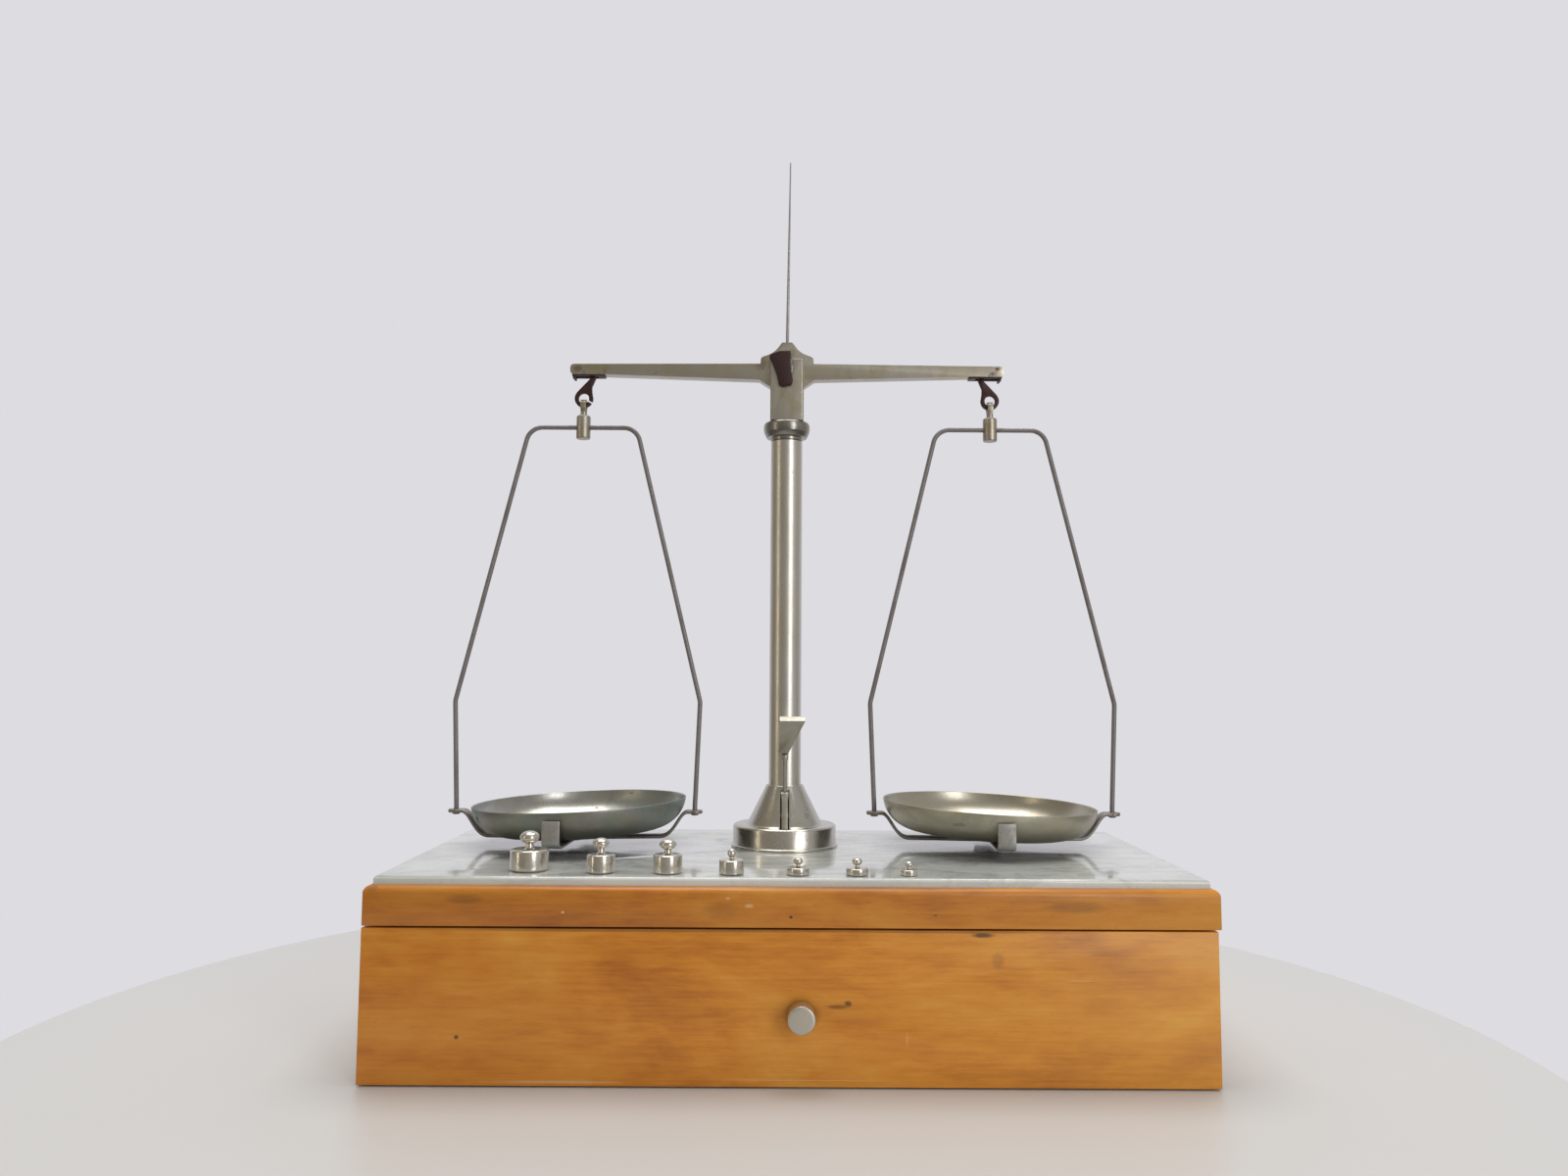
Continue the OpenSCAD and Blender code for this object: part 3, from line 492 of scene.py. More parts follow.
@dataclass(frozen=True)
class TarnishedSheet(Finish):
    """Thin plated sheet: its inside painted lighter as a painted reflection of the sky, its outside duller, with
    patina and spots.
    """

    # The inner face's colour, painted lighter than the outside as a painted reflection of the sky.
    inside: Colour = (0.43, 0.43, 0.395)
    outside: Colour = (0.30, 0.29, 0.24)
    patina: Colour = (0.19, 0.26, 0.245)
    bloom: Colour = (0.34, 0.31, 0.33)
    spot: Colour = (0.02, 0.06, 0.055)
    patina_share: float = 0.7
    spotting: float = 0.9
    shift: Triple = (0.0, 0.0, 0.0)

    def paint(self, graph: MaterialGraph) -> bpy.types.Material:
        """Two faces told apart by the piece's own attribute, the inner one painted lighter as a painted reflection
        of the sky, patina clouds, and dark spots.
        """
        inner = graph.node("ShaderNodeAttribute", {"attribute_name": "inside"}, output=2)
        inner_face = inner.rising(0.1, 0.4)
        bed = inner.rising(0.95, 0.6) * inner_face
        clouds = graph.noise((26, 26, 40), 5, 0.62, 1.0, self.shift)
        bands = graph.noise((60, 60, 60), 4, 0.6, 1.6, self.shift)
        fine = graph.noise(900, 4, 0.65, 0, self.shift)
        drops = graph.noise((95, 95, 130), 3, 0.55, 0.4, self.shift)
        # Painted reflection: the inner face is painted lighter than the outer one.
        base = graph.mix(inner_face, self.outside, self.inside)
        green = clouds.rising(0.4, 0.62, self.patina_share) * (1.0 - inner_face * 0.45)
        base = graph.mix(green, base, self.patina)
        base = graph.mix(bands.rising(0.45, 0.68, 0.5), base, self.bloom)
        # The bowl's floor is made darker and rougher.
        base = graph.mix(bed * 0.6, base, tuple(0.5 * c for c in self.patina))
        base = graph.mix((fine - 0.5) * 0.5 + 0.1, base, tuple(0.55 * c for c in self.outside))
        spots = drops.rising(0.67, 0.71, self.spotting)
        base = graph.mix(spots, base, self.spot)
        rough = 0.38 + green * 0.2 - inner_face * 0.08 + bed * 0.22 + (fine - 0.5) * 0.2 + spots * 0.25
        normal = graph.relief(fine, 0.00001)
        normal = graph.relief(graph.noise((38, 38, 38), 2, 0.4, 0.3, self.shift), 0.0005, normal)
        return graph.finish(Base_Color=base, Roughness=rough, Metallic=1.0 - spots * 0.7 - green * 0.25,
                            Normal=normal)


@dataclass(frozen=True)
class PlainPaint(Finish):
    """An even, slightly glossy coat, for the floor."""

    colour: Colour = (0.59, 0.59, 0.59)
    roughness: float = 0.35

    def paint(self, graph: MaterialGraph) -> bpy.types.Material:
        """One colour with a faint unevenness in its gloss."""
        rough = graph.noise(4, 3, 0.5) * 0.1 + self.roughness
        return graph.finish(Base_Color=self.colour, Roughness=rough)


# ---- Shapes ----


def linked(name: str, data: bpy.types.ID) -> bpy.types.Object:
    """A new object in the scene, for a mesh, a light or a camera."""
    made = bpy.data.objects.new(name, data)
    bpy.context.scene.collection.objects.link(made)
    return made


class Shape:
    """A mesh that bmesh operators build up, in millimetres until it is placed."""

    def __init__(self) -> None:
        """Starts with nothing."""
        self.bm = bmesh.new()

    @classmethod
    def copied(cls, node: str) -> "Shape":
        """The merged mesh of a CAD node, in metres, with its flat faces whole."""
        shape = cls()
        shape.bm.from_mesh(frame["nodes"][node].data)
        bmesh.ops.remove_doubles(shape.bm, verts=shape.bm.verts[:], dist=MERGE)
        bmesh.ops.dissolve_limit(shape.bm, angle_limit=FLAT, use_dissolve_boundaries=False,
                                 verts=shape.bm.verts[:], edges=shape.bm.edges[:], delimit=set())
        return shape

    def turned(self, profile: Sequence[Pair], segments: int = 96, closed: bool = False) -> "Shape":
        """Spins a profile of radius and height about Z.

        Args:
            profile: The points, from the axis or round a ring's section.
            segments: How many steps the turn has.
            closed: Whether the last point joins the first.

        Returns:
            This shape.
        """
        verts = [self.bm.verts.new((r, 0.0, z)) for r, z in profile]
        ends = verts[1:] + (verts[:1] if closed else [])
        edges = [self.bm.edges.new(pair) for pair in zip(verts, ends)]
        bmesh.ops.spin(self.bm, geom=verts + edges, cent=(0, 0, 0), axis=(0, 0, 1), dvec=(0, 0, 0),
                       angle=FULL_TURN, steps=segments, use_merge=True, use_duplicate=False)
        bmesh.ops.remove_doubles(self.bm, verts=self.bm.verts[:], dist=WELD)
        bmesh.ops.recalc_face_normals(self.bm, faces=self.bm.faces[:])
        return self

    def swept(self, path: Sequence[Pair], section: Sequence[Pair]) -> "Shape":
        """Draws a section along a path in X and Z, one extrusion for each step.

        Args:
            path: The points that the middle line follows.
            section: The outline, across the path and along Y.

        Returns:
            This shape.
        """
        stations = [self._station(path, i) for i in range(len(path))]
        ring = [self.bm.verts.new(stations[0] @ Vector((u, v, 0))) for u, v in section]
        edges = list(self.bm.faces.new(ring).edges)
        for here, there in zip(stations, stations[1:]):
            made = bmesh.ops.extrude_edge_only(self.bm, edges=edges)["geom"]
            verts = {g for g in made if isinstance(g, bmesh.types.BMVert)}
            edges = [g for g in made if isinstance(g, bmesh.types.BMEdge) and set(g.verts) <= verts]
            bmesh.ops.transform(self.bm, matrix=there @ here.inverted(), verts=list(verts))
        bmesh.ops.edgeloop_fill(self.bm, edges=edges)
        bmesh.ops.recalc_face_normals(self.bm, faces=self.bm.faces[:])
        return self

    @staticmethod
    def _station(path: Sequence[Pair], i: int) -> Matrix:
        """The frame that carries a section at one point of a path."""
        before, after = Vector(path[max(i - 1, 0)]), Vector(path[min(i + 1, len(path) - 1)])
        along = (after - before).normalized()
        x, z = path[i]
        return Matrix(((-along.y, 0, along.x, x), (0, 1, 0, 0), (along.x, 0, along.y, z), (0, 0, 0, 1)))

    def bevelled(self, width: float, segments: int = 2, angle: float = 32.0, pin: Optional[Vector] = None,
                 reach: float = 0.0) -> "Shape":
        """Rounds sharp edges.

        Args:
            width: How far each rounding reaches from its edge.
            segments: How many faces it has across.
            angle: The least angle in degrees of an edge that is rounded.
            pin: A point on a pin that lies along X, whose hole keeps its edge.
            reach: How far from the pin's axis edges are kept.

        Returns:
            This shape.
        """
        sharp = [e for e in self.bm.edges if len(e.link_faces) == 2 and e.calc_face_angle(0) > math.radians(angle)]
        if pin is not None:
            sharp = [e for e in sharp if any((v.co - pin).yz.length > reach for v in e.verts)]
        bmesh.ops.bevel(self.bm, geom=sharp, offset=width, offset_type="OFFSET", affect="EDGES",
                        segments=segments, profile=0.5, clamp_overlap=True, material=-1)
        return self

    def moved(self, matrix: Matrix) -> "Shape":
        """Moves the whole shape."""
        bmesh.ops.transform(self.bm, matrix=matrix, verts=self.bm.verts[:])
        return self

    def mirrored(self, side: Side) -> "Shape":
        """Turns a shape made for the right arm into the left arm's, where that is its side."""
        if side is Side.LEFT:
            bmesh.ops.scale(self.bm, vec=(-1, 1, 1), verts=self.bm.verts[:])
            bmesh.ops.recalc_face_normals(self.bm, faces=self.bm.faces[:])
        return self

    def merged(self, other: "Shape") -> "Shape":
        """Adds another shape's mesh to this one."""
        kept = bpy.data.meshes.new("joined")
        other.bm.to_mesh(kept)
        other.bm.free()
        self.bm.from_mesh(kept)
        bpy.data.meshes.remove(kept)
        return self

    def placed(self, place: Sequence[float]) -> "Shape":
        """Turns millimetres into metres and moves the shape to its place in metres."""
        return self.moved(Matrix.Translation(place) @ Matrix.Scale(MM, 4))

    def marked_inside(self, centre: Vector) -> "Shape":
        """Gives each point the attribute inside: 0 outside a bowl, 1 on its inner wall and half on its floor."""
        layer = self.bm.verts.layers.float.new("inside")
        self.bm.normal_update()
        for vert in self.bm.verts:
            facing = vert.normal.dot((centre - vert.co).normalized())
            vert[layer] = 0.0 if facing < 0 else 1.0 - 0.5 * max(0.0, min(1.0, (vert.normal.z - 0.75) * 5))
        return self

    def piece(self, name: str, node: str, finish: Finish, crease: float = 38.0) -> None:
        """Makes the object that stands for a CAD node, on its body and in its slot.

        Args:
            name: The object's name.
            node: The CAD node that it stands for.
            finish: What it is made of.
            crease: The angle in degrees past which an edge looks sharp.
        """
        for face in self.bm.faces:
            face.smooth = True
        for edge in self.bm.edges:
            edge.smooth = edge.calc_face_angle(0) < math.radians(crease)
        mesh = bpy.data.meshes.new(name)
        self.bm.to_mesh(mesh)
        self.bm.free()
        made = linked(name, mesh)
        mesh.materials.append(finish.material())
        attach(made, frame["nodes"][node]["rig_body"])
        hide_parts(node)
        LOG.info("%s: %d faces, for %s", name, len(mesh.polygons), node)


def softened(node: str, name: str, finish: Finish, width: float, segments: int = 2,
             angle: float = 32.0) -> None:
    """Makes a CAD node's piece with rounded edges.

    Args:
        node: The CAD node.
        name: The piece's name.
        finish: What it is made of.
        width: How far each rounding reaches, in millimetres.
        segments: How many faces it has across.
        angle: The least angle in degrees of an edge that is rounded.
    """
    Shape.copied(node).bevelled(width * MM, segments, angle).piece(name, node, finish)


def joint_place(name: str) -> Vector:
    """The point that a hinge turns about, in metres."""
    return Vector(next(j for j in frame["joints"] if j["name"] == name)["pos_m"])


def arc(centre: Pair, radius: float, start: float, end: float, steps: int) -> list[Pair]:
    """Points round part of a circle, its angles in degrees."""
    angles = [math.radians(start + (end - start) * i / steps) for i in range(steps + 1)]
    return [(centre[0] + radius * math.cos(a), centre[1] + radius * math.sin(a)) for a in angles]


def bow(p: Pair, q: Pair, r: Pair, s: Pair, steps: int) -> list[Pair]:
    """Points on a cubic curve between two ends with two handles."""
    points = []
    for i in range(steps + 1):
        t = i / steps
        w = ((1 - t) ** 3, 3 * (1 - t) ** 2 * t, 3 * (1 - t) * t * t, t ** 3)
        points.append(tuple(sum(k * c[n] for k, c in zip(w, (p, q, r, s))) for n in (0, 1)))
    return points


def both_ways(half: Sequence[Pair]) -> list[Pair]:
    """A half path that starts near the middle, joined to its mirror image."""
    return [(-x, z) for x, z in reversed(half)] + list(half)


def rounded_strip(width: float, thickness: float, radius: float) -> list[Pair]:
    """The section of a flat strip with rounded edges: across the path, then along Y."""
    half_t, half_w = thickness / 2 - radius, width / 2 - radius
    corners = ((half_t, half_w, 0), (-half_t, half_w, 90), (-half_t, -half_w, 180), (half_t, -half_w, 270))
    return [p for x, y, turn in corners for p in arc((x, y), radius, turn, turn + 90, 3)]


def eased(profile: Sequence[Pair], radius: float, steps: int = 3) -> list[Pair]:
    """A turned profile whose inner corners are rounded.

    Args:
        profile: Its points.
        radius: How far each corner is cut back along its shorter side at most.
        steps: How many points round a corner.

    Returns:
        The rounded points.
    """
    points = [tuple(profile[0])]
    for before, corner, after in zip(profile, profile[1:], profile[2:]):
        b, c, a = Vector(before), Vector(corner), Vector(after)
        cut = min(radius, 0.45 * (b - c).length, 0.45 * (a - c).length)
        p, q = c + (b - c).normalized() * cut, c + (a - c).normalized() * cut
        for i in range(steps + 1):
            t = i / steps
            points.append(tuple((1 - t) ** 2 * p + 2 * t * (1 - t) * c + t * t * q))
    points.append(tuple(profile[-1]))
    return points


# ---- Finishes of this balance ----

FRONT_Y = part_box("drawer_front")[0].y / MM
RAIL_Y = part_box("top_rail_front")[0].y / MM
BEAM_Y = 15
KNOB = (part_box("drawer_knob")[0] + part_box("drawer_knob")[1]) / 2 / MM


def face_marks(y: float, depth: float, *rows: tuple[float, float, float, float, float]) -> tuple[Mark, ...]:
    """Marks on an upright face, in millimetres.

    Args:
        y: The face's place along Y.
        depth: How far the marks reach into it.
        rows: Each mark's X, Z, half width, half height and strength.

    Returns:
        The marks.
    """
    return tuple(Mark((x, y, z), (wide, depth, high), strength) for x, z, wide, high, strength in rows)


# The two long strips at a height of 63.8 along the drawer front's top edge are painted shadow in the gap below the
# front rail.
DRAWER_FACE = OiledWood(
    "drawer_face", shift=(0.4, 2.0, 1.3),
    marks=face_marks(FRONT_Y, 9, (KNOB.x, KNOB.z - 0.5, 9.5, 8.5, 0.5), (KNOB.x + 15, KNOB.z + 3, 6, 1.3, 0.55),
                 (KNOB.x + 19.5, KNOB.z + 4.3, 2.2, 1.5, 0.75), (-139, 20, 1.3, 1.2, 0.8),
                 (80, 62.5, 6, 1.6, 0.8), (86, 52, 3.5, 5, 0.22), (-60, 63.8, 130, 1.0, 0.5),
                 (55, 63.8, 90, 0.9, 0.45)),
    pale_marks=face_marks(FRONT_Y, 9, (-98, 2.2, 34, 0.8, 0.4), (6, 3.4, 50, 0.35, 0.35), (48, 20, 0.6, 4.5, 0.25),
                      (120, 44, 9, 0.5, 0.2)))
FRONT_RAIL = OiledWood(
    "front_rail", dark=srgb(156, 84, 16), middle=srgb(200, 126, 30), light=srgb(213, 149, 52), shift=(3.1, 0.2, 4.4),
    marks=face_marks(RAIL_Y, 9, (-176, 80.5, 3, 2, 0.3), (-0.5, 69.5, 1.0, 0.9, 0.9), (118, 74, 16, 3.5, 0.32),
                 (-137, 76, 10, 3, 0.3), (30, 81, 70, 0.9, 0.3), (-30, 72, 9, 5, 0.2),
                 (60, 70.5, 1.2, 0.6, 0.6)),
    pale_marks=face_marks(RAIL_Y, 9, (-96, 71, 0.9, 0.7, 0.8), (-18, 74, 2.5, 1.1, 0.5), (-27, 77, 1.2, 0.7, 0.5)))
# The mark on the right board's front edge is painted shadow in the gap behind the drawer front's right end.
SIDE_WOOD = OiledWood("side_boards", grain=Grain.FRONT_TO_BACK, shift=(1.7, 0.9, 2.2),
                      marks=(Mark((180, -66, 32), (4, 3, 45), 0.85),))
BACK_WOOD = OiledWood("back_boards", shift=(5.2, 3.3, 0.7))
INNER_WOOD = OiledWood("bare_wood", dark=srgb(176, 138, 88), middle=srgb(205, 172, 122), light=srgb(222, 194, 148),
                       shift=(2.6, 6.1, 0.3), roughness=0.62, coat=0.0, painted_side_light=False)
MARBLE = PolishedMarble("marble")
COLUMN_NICKEL = WornPlating("column_nickel", roughness=0.33, warmth=0.45, spotting=0.3, streak=(70, 70, 16),
                            turning=0.0000035)
FOOT_NICKEL = WornPlating("foot_nickel", bright=(0.54, 0.52, 0.48), roughness=0.24, warmth=0.7, spotting=0.45,
                          streak=(45, 45, 45), unevenness=0.00014)
# Painted shade: the collar is the same nickel as the rest, its colour darkened to stand for the dark ground that its
# lower band reflects.
PAINTED_SHADE_COLLAR_NICKEL = WornPlating("collar_nickel", bright=(0.30, 0.285, 0.26), warm=(0.25, 0.21, 0.15), roughness=0.27,
                            spotting=0.4)
HEAD_NICKEL = WornPlating("head_nickel", bright=(0.50, 0.475, 0.42), warm=(0.45, 0.38, 0.25), roughness=0.33,
                          warmth=0.75, spotting=0.4, streak=(70, 70, 55))
BEAM_NICKEL = WornPlating(
    "beam_nickel", bright=(0.47, 0.44, 0.38), warm=(0.44, 0.37, 0.24), spot=(0.13, 0.05, 0.03), roughness=0.34,
    warmth=0.8, spotting=0.7, streak=(55, 55, 55),
    marks=face_marks(BEAM_Y, 4, (-112, 329.5, 3.2, 2.6, 0.55), (106.5, 330.5, 1.6, 1.0, 0.9),
                 (104, 328, 1.3, 1.2, 0.7), (-98, 328, 1.2, 1.5, 0.35), (-17, 333, 4, 5, 0.35)))
LEVER_NICKEL = WornPlating("lever_nickel", bright=(0.42, 0.40, 0.35), warm=(0.33, 0.29, 0.21), roughness=0.44,
                           warmth=0.8, spotting=0.6)
KNOB_NICKEL = WornPlating("knob_nickel", bright=(0.56, 0.53, 0.46), roughness=0.42, warmth=0.5, spotting=0.5)
WEIGHT_NICKEL = WornPlating("weight_nickel", bright=(0.68, 0.645, 0.59), warm=(0.60, 0.53, 0.40), roughness=0.22,
                            warmth=0.55, spotting=0.3, streak=(120, 120, 120), turning=0.000003)
FIXINGS = OldSteel("plain_steel", steel=(0.42, 0.41, 0.39), bloom=0.2, roughness=0.34)
HARD_STEEL = OldSteel("hard_steel", steel=(0.36, 0.36, 0.37), bloom=0.15, roughness=0.26)
BROWNED = OldSteel("browned_steel", steel=(0.06, 0.03, 0.03), rust=(0.075, 0.022, 0.017), roughness=0.46,
                   bloom=0.9, metal=0.55)
WIRE = OldSteel("wire_steel", steel=(0.27, 0.25, 0.255), rust=(0.17, 0.11, 0.085), roughness=0.5, bloom=0.5,
                metal=0.6)
FITTING_NICKEL = WornPlating("fitting_nickel", bright=(0.44, 0.41, 0.36), warm=(0.38, 0.30, 0.18), roughness=0.42,
                             warmth=0.8, spotting=0.5, streak=(160, 160, 90))
CRADLE = OldSteel("cradle_steel", steel=(0.30, 0.28, 0.26), rust=(0.20, 0.105, 0.06), roughness=0.42, bloom=0.7)
CRADLE_ARM = OldSteel("cradle_arm_steel", steel=(0.46, 0.455, 0.44), rust=(0.22, 0.16, 0.11), roughness=0.45,
                      bloom=0.45)
LEFT_SHEET = TarnishedSheet("left_sheet")
RIGHT_SHEET = TarnishedSheet("right_sheet", inside=(0.50, 0.47, 0.395), outside=(0.50, 0.47, 0.38),
                             patina=(0.27, 0.27, 0.21), bloom=(0.52, 0.44, 0.33), spot=(0.09, 0.08, 0.02),
                             patina_share=0.5, spotting=0.35, shift=(4.0, 1.0, 2.0))


# ---- Sub-assemblies ----


@dataclass
class DrawerCase:
    """The case: its boards, the mitred frame and the marble, with its roundings in millimetres."""

    arris: float = 0.45
    frame_arris: float = 0.3
    marble_arris: float = 0.5
    boards: tuple[tuple[str, Finish], ...] = (
        ("side_panel_left", SIDE_WOOD), ("side_panel_right", SIDE_WOOD), ("back_panel", BACK_WOOD),
        ("bottom_panel", INNER_WOOD), ("support_board", INNER_WOOD))
    rails: tuple[tuple[str, Finish], ...] = (
        ("top_rail_front", FRONT_RAIL), ("top_rail_back", BACK_WOOD),
        ("top_rail_left", SIDE_WOOD), ("top_rail_right", SIDE_WOOD))

    def build(self) -> None:
        """Makes every board, rail and the slab with softened edges."""
        for pieces, width in ((self.boards, self.arris), (self.rails, self.frame_arris)):
            for node, wood in pieces:
                softened(node, f"case_{node}", wood, width)
        softened("marble_slab", "case_marble", MARBLE, self.marble_arris, segments=3)


@dataclass
class Drawer:
    """The drawer: its box, the overlaid front and the turned knob, with sizes in millimetres."""

    arris: float = 0.6
    inner_arris: float = 0.4
    screw_edge: float = 0.2
    knob_radius: float = 5.75
    knob_neck_radius: float = 3.4
    knob_neck: float = 2.0
    knob_length: float = 8.0

    def build(self) -> None:
        """Makes the boards, the knob and its screw."""
        softened("drawer_front", "drawer_face", DRAWER_FACE, self.arris, segments=3)
        for node in ("drawer_side_left", "drawer_side_right", "drawer_back", "drawer_bottom"):
            softened(node, f"box_{node}", INNER_WOOD, self.inner_arris)
        softened("knob_screw", "knob_fixing", FIXINGS, self.screw_edge)
        self.knob()

    def knob(self) -> None:
        """Turns the knob: a neck, a plain drum and a very slightly domed face with a shallow ring."""
        r, neck, end = self.knob_radius, self.knob_neck, self.knob_neck + self.knob_length
        profile = eased([(0, 0), (self.knob_neck_radius, 0), (self.knob_neck_radius, neck), (r, neck),
                         (r, end - 0.35), (r * 0.8, end - 0.12), (0, end)], 0.5)
        low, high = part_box("drawer_knob")
        back = Vector(((low.x + high.x) / 2, high.y, (low.z + high.z) / 2))
        shape = Shape().turned(profile, segments=64).moved(Matrix.Rotation(math.pi / 2, 4, "X"))
        shape.placed(back).piece("turned_knob", "drawer_knob", KNOB_NICKEL)


@dataclass
class Column:
    """The column: its slotted foot, tube and collar, and their fixings, with sizes in millimetres."""

    edge: float = 0.25
    tube_radius: float = 8.1
    bore_radius: float = 6.6
    tube_end_round: float = 0.4
    ring_spacing: float = 12.0
    pin_reach: float = 1.6
    guide_bore: float = 4.6
    guide_radius: float = 6.5
    collar_height: float = 9.5
    collar_profile: tuple[Pair, ...] = ((8.1, 0), (8.1, 1.7), (10.4, 1.7), (11.6, 4.2), (12.0, 6.3), (11.9, 8.3),
                                        (11.4, 9.2), (10.9, 9.5), (4.6, 9.5))

    def build(self) -> None:
        """Makes each piece on the column's axis."""
        low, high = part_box("column_tube")
        axis = Vector(((low.x + high.x) / 2, (low.y + high.y) / 2, 0))
        pin = Vector((axis.x, *(joint_place("lever_tilt").yz)))
        foot = Shape.copied("column_foot").bevelled(self.edge * MM, angle=24, pin=pin,
                                                     reach=self.pin_reach * MM)
        foot.piece("slotted_foot", "column_foot", FOOT_NICKEL)
        self.tube(axis, low.z, (high.z - low.z) / MM)
        self.collar(axis)
        for node in ("foot_stud", "foot_washer", "foot_nut", "lever_pin"):
            softened(node, f"fixing_{node}", FIXINGS, self.edge)

    def tube(self, axis: Vector, bottom: float, length: float) -> None:
        """Turns the tube, with rings along it so that its shading stays even.

        Args:
            axis: A point on the column's axis, in metres.
            bottom: The height of the tube's lower end, in metres.
            length: The tube's length in millimetres.
        """
        r, bore, inset = self.tube_radius, self.bore_radius, self.tube_end_round
        rings = max(8, round(length / self.ring_spacing))
        wall = [(r, inset + (length - 2 * inset) * i / rings) for i in range(rings + 1)]
        section = [(bore, 0), (r - inset, 0), *wall, (r - inset, length), (bore, length)]
        shape = Shape().turned(section, closed=True).placed((axis.x, axis.y, bottom))
        shape.piece("drawn_tube", "column_tube", COLUMN_NICKEL)

    def collar(self, axis: Vector) -> None:
        """Turns the collar with its hidden guide sleeve, round an axis in metres."""
        low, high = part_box("column_collar")
        sleeve = (high.z - low.z) / MM - self.collar_height
        guide = [(self.guide_bore, -sleeve), (self.guide_radius, -sleeve), (self.guide_radius, 0)]
        shape = Shape().turned(eased([*guide, *self.collar_profile], 0.3), closed=True)
        shape.placed((axis.x, axis.y, high.z - self.collar_height * MM))
        shape.piece("turned_collar", "column_collar", PAINTED_SHADE_COLLAR_NICKEL)


@dataclass
class Lever:
    """The lifting lever in front of the column, with its roundings in millimetres."""

    edge: float = 0.3
    stem_edge: float = 0.2

    def build(self) -> None:
        """Makes the cranked arm, the stem and the leaning thumb piece."""
        softened("lever_arm", "cranked_arm", LEVER_NICKEL, self.edge)
        softened("lever_stem", "stem", LEVER_NICKEL, self.stem_edge, angle=60)
        softened("thumb_piece", "thumb_plate", LEVER_NICKEL, self.edge, segments=3)


@dataclass
class LiftingHead:
    """What the lever raises: rod, fork, bearings and the brown cover plate, with roundings in millimetres."""

    rod_edge: float = 0.3
    fork_edge: float = 0.35
    bearing_edge: float = 0.12
    cover_edge: float = 0.45

    def build(self) -> None:
        """Makes each piece of the head."""
        softened("lift_rod", "rod", FIXINGS, self.rod_edge)
        softened("beam_fork", "fork", HEAD_NICKEL, self.fork_edge, segments=3)
        softened("knife_bearings", "bearings", HARD_STEEL, self.bearing_edge)
        softened("pivot_cover", "cover_plate", BROWNED, self.cover_edge, segments=3)


@dataclass
class Beam:
    """The beam with its knives, guards and pointer, with sizes in millimetres."""

    edge: float = 0.5
    knife_edge: float = 0.06
    guard_edge: float = 0.15
    needle_length: float = 101.5
    needle_root: float = 3.4
    root_radius: float = 0.9
    needle_radius: float = 0.84
    needle_taper: float = 0.54
    taper_power: float = 1.15
    needle_steps: int = 24
    lean: float = 0.7

    def build(self) -> None:
        """Makes each piece of the beam."""
        softened("balance_beam", "beam", BEAM_NICKEL, self.edge, segments=3)
        for node in ("centre_knife", "end_knives"):
            softened(node, f"ground_{node}", HARD_STEEL, self.knife_edge, segments=1)
        softened("hook_guards", "guard_plates", BROWNED, self.guard_edge)
        self.needle()

    def needle(self) -> None:
        """Turns the slim pointer, which leans a little to the right."""
        root, top, thick = self.needle_root, self.needle_length, self.root_radius
        profile = [(0, 0), (thick, 0), (thick, root - 0.3), (thick - 0.08, root)]
        for i in range(1, self.needle_steps + 1):
            t = i / self.needle_steps
            profile.append((self.needle_radius - self.needle_taper * t ** self.taper_power,
                            root + (top - root - 0.2) * t))
        profile.append((0, top))
        lean = math.radians(self.lean)
        hinge = joint_place("beam_swing")
        foot = Vector((hinge.x, hinge.y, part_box("pointer_needle")[1].z - top * MM * math.cos(lean)))
        shape = Shape().turned(profile, segments=20).moved(Matrix.Rotation(lean, 4, "Y"))
        shape.placed(foot).piece("pointer", "pointer_needle", FIXINGS)


